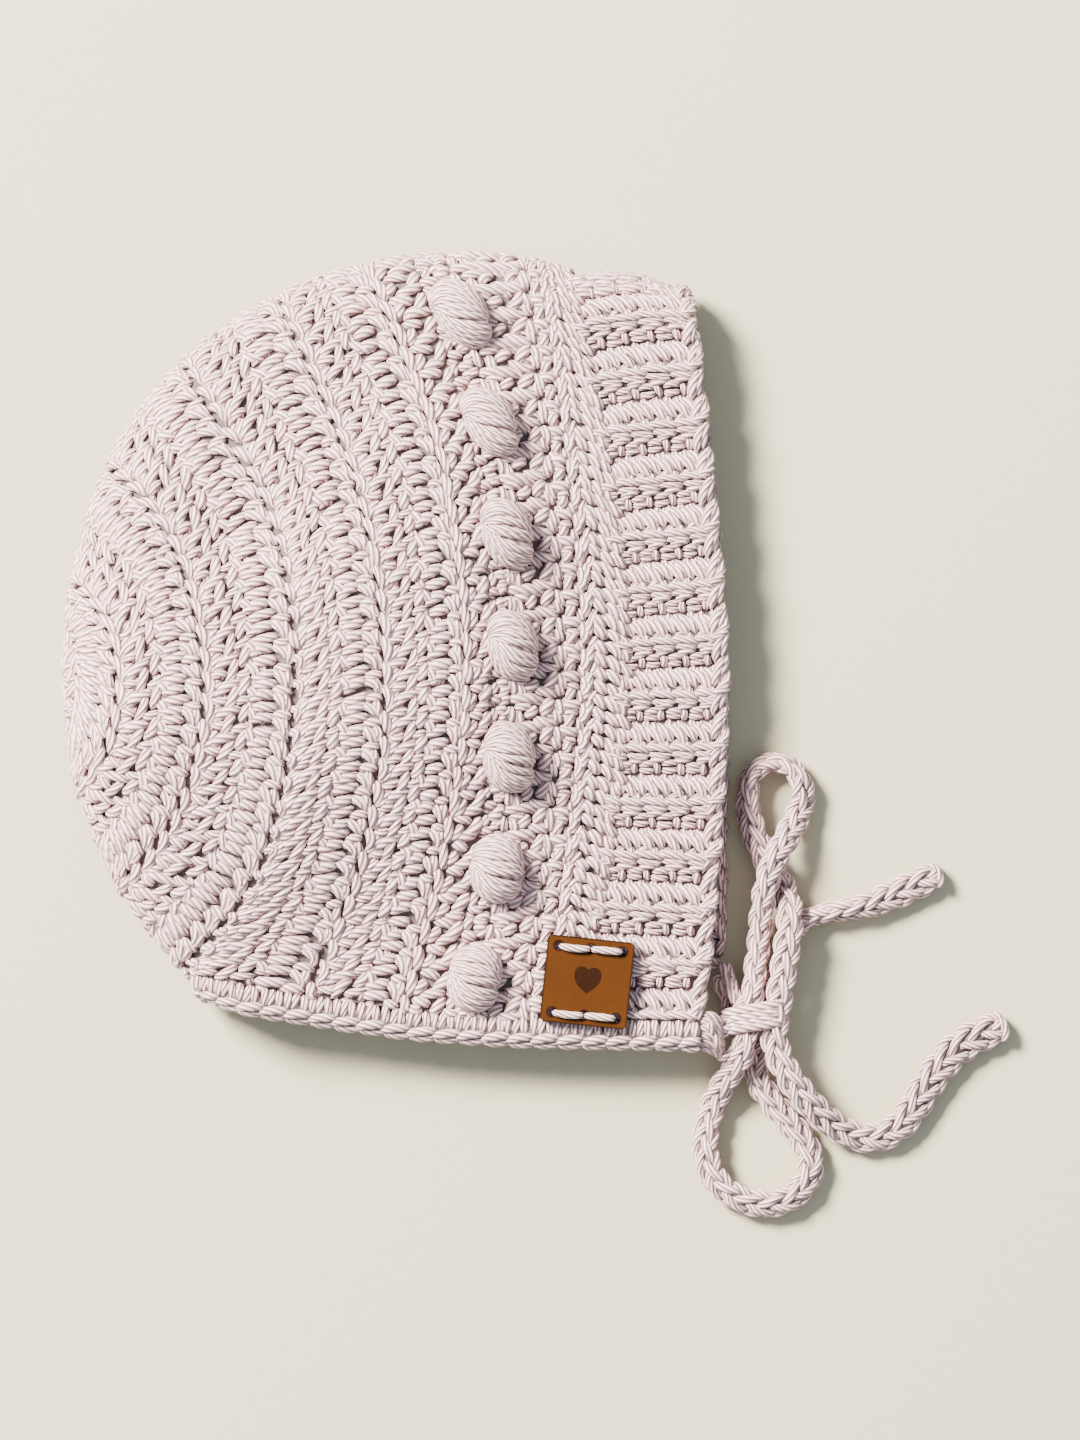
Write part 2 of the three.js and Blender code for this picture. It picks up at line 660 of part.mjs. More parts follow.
function namedMesh(name, geometry, material) {
  const mesh = new THREE.Mesh(geometry, material);
  mesh.name = name;
  return mesh;
}

function build() {
  const cloth = new THREE.Group();
  cloth.add(namedMesh('crown', crownGeometry(), yarn));
  cloth.add(namedMesh('brim', brimGeometry(), yarn));
  cloth.add(namedMesh('front_edging', frontEdgingGeometry(), yarn));
  cloth.add(namedMesh('neck_edging', neckEdgingGeometry(), yarn));
  cloth.add(...bobbleMeshes());
  cloth.add(tagMesh());
  const bonnet = new THREE.Group();
  bonnet.add(cloth, bowGroup());
  // The origin is on the table, under the middle of the bonnet without its ties.
  const bounds = new THREE.Box3().setFromObject(cloth);
  const middle = bounds.getCenter(new THREE.Vector3());
  bonnet.position.set(-middle.x, -middle.y, -bounds.min.z);
  return bonnet;
}

const bonnet = build();

export default bonnet;
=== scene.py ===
"""A crocheted baby bonnet, folded flat on its side, with a leather tag and its ties in a bow."""

import json
import math

import bpy
import numpy as np
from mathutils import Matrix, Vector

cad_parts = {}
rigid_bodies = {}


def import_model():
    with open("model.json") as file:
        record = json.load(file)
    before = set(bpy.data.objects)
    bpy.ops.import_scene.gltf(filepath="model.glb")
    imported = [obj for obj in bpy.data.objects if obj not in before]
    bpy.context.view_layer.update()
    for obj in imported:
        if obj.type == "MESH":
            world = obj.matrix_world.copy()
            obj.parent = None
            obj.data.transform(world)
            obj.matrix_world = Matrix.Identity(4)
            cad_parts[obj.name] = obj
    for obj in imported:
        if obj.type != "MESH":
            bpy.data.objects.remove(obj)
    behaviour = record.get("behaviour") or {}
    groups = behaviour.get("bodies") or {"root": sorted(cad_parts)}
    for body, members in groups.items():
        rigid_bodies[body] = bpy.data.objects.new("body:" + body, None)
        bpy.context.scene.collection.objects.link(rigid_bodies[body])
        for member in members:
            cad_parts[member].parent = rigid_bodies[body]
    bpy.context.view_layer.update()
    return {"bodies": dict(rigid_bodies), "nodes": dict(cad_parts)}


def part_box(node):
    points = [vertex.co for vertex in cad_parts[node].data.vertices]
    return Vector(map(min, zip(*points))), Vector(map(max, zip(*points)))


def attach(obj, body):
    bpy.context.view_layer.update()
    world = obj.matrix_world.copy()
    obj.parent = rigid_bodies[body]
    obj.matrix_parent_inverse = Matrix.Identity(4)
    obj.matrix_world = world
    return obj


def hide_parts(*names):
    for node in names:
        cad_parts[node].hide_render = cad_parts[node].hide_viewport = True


MM = 0.001
rng = np.random.default_rng(7)

# The folded cloth, as the solid model has it, in millimetres.
DEPTH = 144
HEIGHT = 173
CROWN_LOFT = 34
BRIM_LOFT = 15.5
FOLD_ROUNDNESS = 0.6
FAR_RISE = 17.7
FAR_FORWARD = 5
CROWN_WALL = 4
BRIM_WALL = 3.2
RIB_DEPTH = 1.4
RIB_COUNT = 14
RIB_PHASE = 0.07
RIB_TILT = 0.04
BROW_RISE = 1.4
LAST_CLOSED = 3
FAR_SLIP = 4
BOBBLE_ROUND = 6
BRIM_START = 8
BRIM_END = 9
FRONT_EDGE = 9.13

# Yarn and stitches, in millimetres.
STITCH = 5.3
SINGLE_PITCH = 5.9
RIB_STITCH_PITCH = 4.6
YARN_PLIES = 5
YARN_LAY = 13
# A strand's height as a share of its width, how dark its sides are painted as shade, how much wider than in
# the tables it is laid, and its width at its very ends.
FLATTEN = 0.92
SIDE_SHADE = 0.45
FULLNESS = 1.1
CAP = 0.15
# How tall the stitches of each kind of row are, then the border's pitch and wall.
FIRST_ROW = 13
TALL_ROW = 19
BEFORE_ROW = 11
AFTER_ROW = 12
SINGLE_ROW = 13
BORDER_ROW = 3
BORDER_PITCH = 5.6
BORDER_WALL = 3.8
# The ribs' length, where their first stitch starts as a share of a stitch, and how far apart they lie.
RIB_LENGTH = 20
RIB_START = 0.35
RIB_PITCH = HEIGHT * 0.92 / RIB_COUNT

# Bobbles.
BOBBLE_COUNT = 7
BOBBLE_WIDTH = 12.6
BOBBLE_LENGTH = 14.6
BOBBLE_HEIGHT = 6.2
BOBBLE_NECK_MARGIN = 8.6
BOBBLE_FOLD_MARGIN = 14
BOBBLE_STRANDS = 13
FAR_BOBBLE_LIFT = 3.4

# Tag.
TAG_SIDE = 18.8
TAG_TURN = math.radians(-6)
HOLE_PITCH = 6.9
HOLE_INSET = 2.2
HEART_SIZE = 2.6

# Ties.
TIE_WIDTH = 6.2
TIE_THICKNESS = 4.9
TIE_YARN = 1.95
# How high a tie's middle lies on the table.
TIE_REST = 2.8

# Columns: round, then [from the back, from the neck edge] over the fold, high, midway, low and at the
# neck edge, as shares of depth and height, then how full the loft is at the fold, midway and the neck.
ROUNDS = np.array([
    [0, 0, 0.468, 0, 0.468, 0, 0.468, 0, 0.468, 0, 0.468, 0.88, 0.88, 0.88],
    [0.5, 0.006, 0.53, 0.018, 0.509, 0.024, 0.466, 0.018, 0.424, 0.006, 0.403, 0.88, 0.9, 0.88],
    [1, 0.013, 0.586, 0.07, 0.534, 0.088, 0.456, 0.069, 0.379, 0.022, 0.324, 0.82, 0.96, 0.82],
    [2, 0.067, 0.733, 0.175, 0.63, 0.22, 0.449, 0.178, 0.297, 0.085, 0.2, 0.62, 1, 0.62],
    [3, 0.18, 0.864, 0.316, 0.667, 0.355, 0.449, 0.301, 0.224, 0.178, 0.094, 0.44, 1, 0.3],
    [4, 0.324, 0.946, 0.445, 0.711, 0.489, 0.455, 0.451, 0.231, 0.37, 0.069, 0.32, 0.94, 0.12],
    [5, 0.456, 0.984, 0.568, 0.748, 0.609, 0.486, 0.577, 0.262, 0.511, 0.052, 0.26, 0.78, 0.06],
    [6, 0.571, 0.999, 0.649, 0.748, 0.672, 0.505, 0.657, 0.249, 0.607, 0.045, 0.2, 0.54, 0.05],
    [7, 0.696, 0.994, 0.733, 0.748, 0.754, 0.493, 0.733, 0.249, 0.697, 0.041, 0.14, 0.3, 0.03],
    [8, 0.757, 0.98, 0.814, 0.742, 0.844, 0.493, 0.817, 0.249, 0.775, 0.039, 0.07, 0.14, 0.02],
    [9, 0.928, 0.955, 0.957, 0.742, 0.982, 0.493, 0.97, 0.249, 0.946, 0.036, 0.01, 0.02, 0],
    [9.13, 0.946, 0.951, 0.975, 0.742, 1, 0.493, 0.988, 0.249, 0.963, 0.034, 0, 0, 0],
])
FOLD, HIGH, SIDE, LOW, NECK = 1, 3, 5, 7, 9
FULL_FOLD, FULL_SIDE, FULL_NECK = 11, 12, 13

# Where the near side sinks: shares of depth and height, reach and depth as shares of the crown's loft.
DENTS = [
    (0.26, 0.65, 0.36, 0.1),
    (0.2, 0.3, 0.5, 0.06),
    (0.5, 0.36, 0.7, 0.05),
]

# The strands of one stitch. Columns: start [across, down], end [across, down], bow to the strand's left as
# a share of its length, width in millimetres, and lift off the cloth's face in millimetres.
COLUMN_STITCH = [
    (-0.04, 0, 0.04, 0.97, 0.12, 2.1, 0.35),
]
POST_STITCH = [
    (0.065, 0.03, 0.175, -0.66, 0.04, 1.95, 0.05),
    (0.1, 0.02, 0.38, -0.56, 0.1, 2.15, 0.15),
    (0.25, 0.4, 0.335, -0.42, -0.05, 1.95, 0.15),
    (0.405, -0.16, 0.47, -0.84, -0.05, 2.05, 0.25),
    (0.345, 0.17, 0.5, -0.02, -0.06, 1.65, 0),
    (0.08, 0.15, 0.24, 0.07, 0, 1.75, 0.05),
    (0.3, 0.52, 0.44, 0.42, 0, 1.55, -1.3),
    (0.02, 0.55, 0.12, 0.2, 0, 1.65, -0.7),
    (0.18, 0.3, 0.2, -0.2, 0, 1.65, -0.8),
]
LOOP_STITCH = [
    (-0.54, -0.7, -0.39, -0.16, 0.06, 2.1, 0.1),
    (-0.48, -0.1, -0.23, -0.34, 0.12, 2.25, 0.15),
    (-0.46, 0.26, -0.21, 0.14, 0.06, 2.2, 0.05),
    (-0.25, -0.36, -0.08, 0.26, 0.14, 2.1, 0.2),
    (-0.22, 0.4, -0.05, 0.44, 0.05, 1.9, 0.05),
    (-0.12, -0.5, -0.055, 0.18, 0.05, 1.8, 0.05),
    (-0.38, 0.42, -0.34, 0.8, 0, 1.8, -0.7),
    (-0.54, -0.1, -0.47, 0.35, 0, 1.9, -0.6),
]
SINGLE_STITCH = [
    (0.02, 0.02, 0.34, -0.08, 0.12, 2.3, 0.15),
    (0.06, 0.28, 0.3, 0.18, 0.05, 1.9, -0.1),
    (0.2, -0.8, 0.12, -0.34, 0, 2, 0.1),
    (0.32, -0.14, 0.36, 0.6, 0.24, 2.1, 0.2),
    (-0.09, -0.16, 0.04, 0.3, 0, 2, 0.1),
    (0.12, 0.3, 0.18, 0.6, 0, 1.8, -0.4),
    (0.52, -0.3, 0.45, 0.38, 0, 2.05, 0.15),
    (0.56, -0.46, 0.76, -0.12, 0.08, 2.3, 0.25),
    (0.76, -0.4, 0.96, 0.02, 0.08, 2.2, 0.2),
    (0.56, -0.02, 0.77, 0.32, 0.08, 2.3, 0.2),
    (0.77, 0.12, 0.97, 0.54, 0.08, 2.2, 0.15),
    (0.95, -0.3, 1.06, 0.12, 0, 2, 0),
    (0.94, 0.2, 1.1, 0.62, 0, 2, 0),
    (0.6, -0.66, 0.54, -0.28, 0, 1.9, 0),
    (0.3, -0.55, 0.4, -0.2, 0, 1.9, -0.4),
    (0.4, 0.1, 0.5, 0.5, 0, 1.9, -0.5),
    (0.06, -0.3, 0.2, -0.05, 0, 1.9, -0.5),
]
# The open rows before and after the bobbles.
BEFORE_BOBBLES = [
    (0.21, 0.34, 0.08, 0.87, 0.04, 2.15, 0.1),
    (0.2, -0.06, 0.57, -0.32, 0.08, 2.25, 0.1),
    (0.13, 0.09, 0.4, 0.17, 0, 2.05, 0),
    (0.57, 0, 0.42, 0.62, 0.03, 2.35, 0.2),
    (0.62, 0.42, 0.88, 0.48, -0.06, 1.95, 0),
    (0.72, -0.1, 0.66, 0.3, 0, 1.95, -0.2),
    (0.8, 0, 0.98, -0.14, 0.1, 2.15, 0),
    (0.84, 0.3, 0.98, 0.16, 0, 2.05, -0.1),
    (0.6, 0.66, 0.78, 0.72, 0, 1.65, -1.1),
]
AFTER_BOBBLES = [
    (0.06, 0, 0.68, -0.12, 0.1, 2.35, 0.2),
    (0.17, 0.17, 0.45, 0.05, 0.05, 2, 0),
    (0.39, 0.44, 0.55, 0.08, 0.03, 2.2, 0.15),
    (0.7, 0.32, 0.87, -0.26, 0.03, 2.25, 0.2),
    (0.55, 0.44, 0.92, 0.52, -0.1, 1.95, 0.1),
    (0.22, 0.3, 0.33, 0.74, 0, 2.05, 0),
    (0.06, 0.2, 0.14, 0.66, 0, 2.05, 0),
    (-0.12, 0.5, 0.04, 0.3, 0, 2.05, -0.1),
    (-0.14, 0.1, 0.05, -0.1, 0.1, 2.15, 0),
    (0.88, 0.1, 1, 0.5, 0, 1.85, -0.2),
    (0.5, -0.3, 0.72, -0.1, 0, 1.9, -0.6),
    (0.7, 0.3, 0.95, 0.25, 0, 1.9, -0.6),
]
RIB_STITCH = [
    (0, -0.05, 1.3, 0.03, 0.05, 1.6, 0.3),
    (0.15, 0.06, 1.2, 0.09, -0.04, 1.4, 0),
    (0.37, 0.23, 1.15, 0.14, 0.08, 1.9, 0.1),
    (0.84, 0.285, 1.5, 0.28, 0.06, 1.45, 0.1),
    (0.84, 0.385, 1.5, 0.375, -0.06, 1.45, 0.05),
    (1.6, 0.25, 1.7, 0.44, 0, 1.5, 0.1),
    (0.95, 0.45, 1.05, 0.62, 0, 1.7, -0.4),
    (1.4, 0.46, 1.5, 0.62, 0, 1.7, -0.4),
    (-0.12, 0.58, 0.78, 0.9, 0.12, 2.05, 0.4),
    (0.4, 0.55, 1.2, 0.84, 0.12, 1.9, 0.2),
    (0.2, 0.5, 0.5, 0.7, 0.05, 1.6, -0.1),
    (0.84, 0.86, 0.94, 0.97, 0, 1.6, -0.2),
    (0.3, 0.93, 0.5, 0.86, 0, 1.6, -0.4),
]
# Where each rib's last strands turn up into the front border.
RIB_END = [
    (3.7, 0.05, 4.75, -0.12, 0.08, 1.67, 0.3),
    (4.1, 0, 5.35, -0.4, 0.08, 1.67, 0.35),
]
RIB_STITCHES = 5
# Chains along the brim's top fold, this share of a side's outline from it.
FOLD_ROWS = (0, 0.0022, 0.0085, 0.018)
FOLD_STITCH = [
    (0, -0.1, 1.25, 0.1, 0.03, 2.1, 0.2),
]
# Down is in stitches of this length along the border.
BORDER_STITCH = [
    (-0.02, 0.55, 0.85, -0.5, 0.08, 1.93, 0.1),
    (0.55, 0.35, 1, -0.65, 0.05, 1.76, -0.3),
]
# Columns: start and end as [along, out, off the middle], bow, width: all but the bow in millimetres.
NECK_STITCH = [
    (0.2, -0.7, 0.95, 0.8, 3.3, 1, 0.05, 1.95),
    (2.4, -0.6, 0.95, 1.9, 3.3, 0.95, 0.05, 1.85),
    (3.4, -0.4, 0.9, 4.4, 3.2, 0.9, 0, 1.95),
    (-0.3, 5, 0.7, 6.3, 3.7, 1, 0.06, 2.1),
    (0.3, 5.1, -0.3, 6.5, 4.7, -0.3, -0.09, 1.95),
    (0, 5, -0.95, 6, 3.7, -1.05, 0.05, 1.9),
    (0.5, -0.5, -1, 1.3, 3.2, -1, 0, 1.9),
    (2.9, -0.5, -1, 3.7, 3.2, -1, 0, 1.9),
]

# Routes of the ties in millimetres from the near front corner, and the height above the table where
# they don't rest on it.
NEAR_STUB = [(0.4, -1.5, 9.6), (1.8, -1.4, 9.5), (3.3, -1.3, 9.4)]
FAR_STUB = [(4, 10), (4.3, 8.5), (5.4, 7.2), (5.8, 5.5)]
UPPER_LOOP = [
    (10.6, 5.1, 8.6), (11.3, 10.4, 7), (12.3, 18, 6), (12.8, 23.7, 6.9), (13.4, 27.7, 8.2),
    (14.1, 31.1, 8.7), (15.4, 34.8, 8.7), (17.7, 39.1, 7.4), (20.3, 43.9, 4.4), (21.9, 48.8, 2.9),
    (20.3, 54), (15.8, 56.2), (11.1, 54), (9.8, 48.8), (10.4, 43.4),
    (12.1, 38.5), (14.5, 33.9), (16.6, 30.5, 3.2), (17.9, 27.7, 4.4), (18.7, 24.5, 6.8),
    (18.8, 21.2, 8.6), (18.2, 16.2, 8.7), (17.5, 11.5, 8.7), (16.5, 5.1, 8.6),
]
LOWER_LOOP = [
    (9.3, -3.2, 8.6), (8.3, -7.3, 8.4), (5.2, -12.3, 6), (2.4, -17.7, 3.2), (0.9, -23.1),
    (0.7, -28.5), (2.6, -33.9), (6.9, -37.8), (12.3, -39.5), (17.7, -38.9),
    (21.6, -36), (23.6, -31.3), (22.5, -26.8), (19, -21.8), (14.7, -16.8),
    (11.9, -12.3), (11.3, -7.5), (11.7, -2.9),
]
UPPER_TAIL = [
    (14.7, 5.4), (16, 10.4), (18.4, 15.8), (20.1, 20.1), (23.6, 22.7),
    (28.8, 24), (34.4, 24.9), (39.6, 26.6), (44.3, 28.8), (48.2, 30.7),
    (50.8, 31.8),
]
LOWER_TAIL = [
    (15.4, -3.1, 8.6), (16.4, -7.1, 8.8), (18.8, -11.9, 8.8), (22.3, -16.6, 8), (26.2, -20.7, 6),
    (30.9, -24, 3.6), (36.1, -25.2), (41.3, -23.7), (45, -19.8), (48, -14.9),
    (51.4, -9.9), (55.5, -5.6), (60.3, -2.8), (64.6, -1.1),
]
NEAR_ROUTE = [*NEAR_STUB, (7, 0.6, 8.6), *UPPER_LOOP, (15.8, 1, 8.5), *LOWER_TAIL]
FAR_ROUTE = [*FAR_STUB, (7.6, 1.2, 4), *LOWER_LOOP, (13.2, 1.2, 2.9), *UPPER_TAIL]
# How far the flat tie is rolled about its own line: [share of its length, quarter turns].
NEAR_TIE_ROLL = [
    (0, 0), (0.1, 0.1), (0.26, 0.1), (0.32, 0.9), (0.37, 0.9), (0.43, 0.2), (0.65, 0.1), (1, 0),
]
FAR_TIE_ROLL = [(0, 0), (0.3, 0.3), (0.5, 0.1), (0.7, 0.2), (0.84, 0.9), (0.93, 0.1), (1, 0)]
# How wide each tie is along its length, as shares of the usual width.
NEAR_TIE_WIDTH = [(0, 0.85), (0.3, 1.05), (0.62, 1.05), (0.8, 1.1), (0.94, 1.28), (1, 1.28)]
FAR_TIE_WIDTH = [(0, 0.85), (0.3, 1.08), (0.62, 1), (0.82, 0.85), (0.93, 1.15), (1, 1.15)]
TIE_COLUMNS = 6
TIE_PITCH = 5.2
TIE_STRAND = 7.2
TIE_SLANT = math.radians(24)

# Strands from the two front corners to the knot. Columns: start and end as [right, up, above the table]
# from the near front corner, bow, width: all but the bow in millimetres.
TIE_START = [
    (-0.6, 1.9, 13.4, 4.2, -0.6, 10.8, 0.12, 2.1),
    (-0.9, 0.5, 13.8, 4.4, -2.2, 10.4, 0.12, 2.1),
    (-0.9, -1.1, 13.8, 4.6, -3.8, 9.8, 0.12, 2.1),
    (-0.9, -2.8, 13.6, 4.8, -5.2, 9.2, 0.12, 2.1),
    (-0.9, -4.3, 13.2, 4.7, -6.6, 8.4, 0.1, 2.1),
    (-0.6, -5.4, 12.4, 4.2, -7.9, 7.6, 0.14, 2.1),
    (3, -7.9, 7.6, 6.8, -4.9, 8.6, -0.16, 2),
    (0.9, 0.6, 13.2, 2, -2.8, 12.4, 0.05, 1.9),
    (2.2, -2.2, 12.2, 3.4, -5.6, 11.2, 0.05, 1.9),
    (-0.4, -3.4, 11.6, 4.4, -4.4, 7.4, 0, 3.4),
    (3.7, 12.6, 4.6, 5.3, 8.6, 5.6, 0.1, 2.1),
    (5.5, 12.8, 4.4, 6.8, 8.7, 5.4, -0.1, 2.1),
    (4.3, 10.2, 5.4, 6.5, 6, 6.6, 0.1, 2.1),
    (6.3, 10.6, 5, 7.7, 6.3, 6.2, -0.1, 2.1),
    (4.9, 7.8, 6, 7, 3.7, 7.6, 0.1, 2.1),
    (7, 8.2, 5.6, 8.6, 4.2, 7.2, -0.1, 2.1),
    (3.9, 9.4, 4.2, 7.4, 4.6, 4.6, 0, 3.2),
]

# The bow's knot, from the near front corner.
KNOT_LEFT = 3.7
KNOT_RIGHT = 18.4
KNOT_BOTTOM = -2.1
KNOT_TOP = 4.3
KNOT_HEIGHT = 11.6
KNOT_STRANDS = 4
KNOT_SLANT = 0.17

# Colours.
YARN_LIGHT = (1.0, 0.565, 0.51)
FINE_YARN_LIGHT = (1.0, 0.6, 0.535)
# Painted shade: the colour of the plies' grooves.
YARN_GROOVE_SHADE = (0.1, 0.074, 0.07)
YARN_TINT = (0.62, 0.45, 0.48)
YARN_SPECK = (0.5, 0.36, 0.35)
YARN_CLOUD = (0.66, 0.5, 0.44)
# Painted shade at the strands' ends and along their lower sides, where they meet the cloth.
YARN_SHADE = (0.135, 0.108, 0.104)
# Painted shade: the dark yarn seen between the strands, on the cloth's bodies and the cores.
UNDER_YARN_SHADE = [(0.07, 0.052, 0.046), (0.17, 0.13, 0.115)]
LEATHER = [(0.037, 0.0107, 0.0012), (0.062, 0.0192, 0.0026)]
LEATHER_GRAIN = (0.03, 0.007, 0.0006)
LEATHER_BURNT = (0.014, 0.0035, 0.0006)
FLOOR_COLOUR = (0.445, 0.395, 0.26)

# Camera, in millimetres, and the floor and lights, in metres.
VIEW_CENTRE = (31.4, -15.0, 12)
VIEW_HEIGHT = 311.0
CAMERA_DISTANCE = 3000.0
SENSOR = 36.0
FLOOR_REACH = 3.0
KEY_PLACE = (-1.2, 0.95, 1.5)
KEY_AIM = (0.03, -0.01, 0)
KEY_POWER = 412
KEY_SIZE = 0.65
KEY_COLOUR = (1, 0.965, 0.9)
SKY_COLOUR = (0.8, 0.96, 1.17)
SKY_STRENGTH = 0.87

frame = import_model()
body = next(iter(frame["bodies"]))


def unit(vectors):
    """The directions of the vectors along the last axis."""
    return vectors / np.maximum(np.linalg.norm(vectors, axis=-1, keepdims=True), 1e-9)


def run(points):
    """How far along its line each point lies."""
    steps = np.linalg.norm(np.diff(points, axis=-2), axis=-1)
    return np.concatenate([np.zeros((*steps.shape[:-1], 1)), np.cumsum(steps, axis=-1)], axis=-1)


def read(at, lengths, rows):
    """Rows of x, y and z that are given along a line, read at other lengths."""
    return np.stack([np.interp(at, lengths, rows[:, axis]) for axis in range(3)], axis=-1)


def hermite(share, start, end, slope_start, slope_end):
    """A cubic from start to end that has these slopes at its ends."""
    return (
        (2 * share**3 - 3 * share**2 + 1) * start
        + (share**3 - 2 * share**2 + share) * slope_start
        + (3 * share**2 - 2 * share**3) * end
        + (share**3 - share**2) * slope_end
    )


def smoothstep(value, low, high):
    share = np.clip((value - low) / (high - low), 0, 1)
    return share * share * (3 - 2 * share)


# The cloth's outer face.


def column_at(rounds, column, corner=None):
    """A column of the table at any rounds, on a smooth curve that may have a corner at one row."""
    rows = ROUNDS[:, 0]
    values = ROUNDS[:, column]
    start = np.clip(np.searchsorted(rows, rounds) - 1, 0, len(rows) - 2)
    end = start + 1
    before = np.where(rows[start] == corner, start, np.maximum(start - 1, 0))
    after = np.where(rows[end] == corner, end, np.minimum(end + 1, len(rows) - 1))
    span = rows[end] - rows[start]
    slope_start = (values[end] - values[before]) / (rows[end] - rows[before]) * span
    slope_end = (values[after] - values[start]) / (rows[after] - rows[start]) * span
    return hermite((rounds - rows[start]) / span, values[start], values[end], slope_start, slope_end)


def plan_place(rounds, column):
    corner = LAST_CLOSED if column == NECK else None
    across = column_at(rounds, column, corner) * DEPTH
    up = column_at(rounds, column + 1, corner) * HEIGHT
    return np.stack([across, up], axis=-1)


def spline(places, shares):
    """Points on a smooth curve through five places, for each row of places and each of its shares."""
    at = shares * (len(places) - 1)
    low = np.clip(np.floor(at).astype(int), 0, len(places) - 2)
    stack = np.stack(places)
    rows = np.arange(stack.shape[1])[:, None]
    first, start, end, last = (
        stack[np.clip(low + step, 0, len(places) - 1), rows] for step in (-1, 0, 1, 2)
    )
    return hermite((at - low)[..., None], start, end, (end - first) / 2, (last - start) / 2)


def even_spline(places, shares):
    """The same curve at even shares of its length, and that length."""
    fine = np.broadcast_to(np.linspace(0, 1, 201), (len(places[0]), 201))
    lengths = run(spline(places, fine))
    at = [np.interp(shares * length[-1], length, fine[0]) for length in lengths]
    return spline(places, np.array(at)), lengths[:, -1]


def distance_to_line(points, line):
    nearest = np.full(points.shape[:-1], np.inf)
    for start, end in zip(line[:-1], line[1:]):
        along = end - start
        reach = points - start
        share = np.clip(reach @ along / (along @ along), 0, 1)
        gap = np.linalg.norm(reach - share[..., None] * along, axis=-1)
        nearest = np.minimum(nearest, gap)
    return nearest


def between(grid, row, place):
    """A grid's values between its rows and places."""
    low_row = row.astype(int)
    low = place.astype(int)
    part_row = row - low_row
    part = place - low
    if grid.ndim == 3:
        part_row, part = part_row[..., None], part[..., None]
    start = grid[low_row, low] * (1 - part) + grid[low_row, low + 1] * part
    end = grid[low_row + 1, low] * (1 - part) + grid[low_row + 1, low + 1] * part
    return start * (1 - part_row) + end * part_row


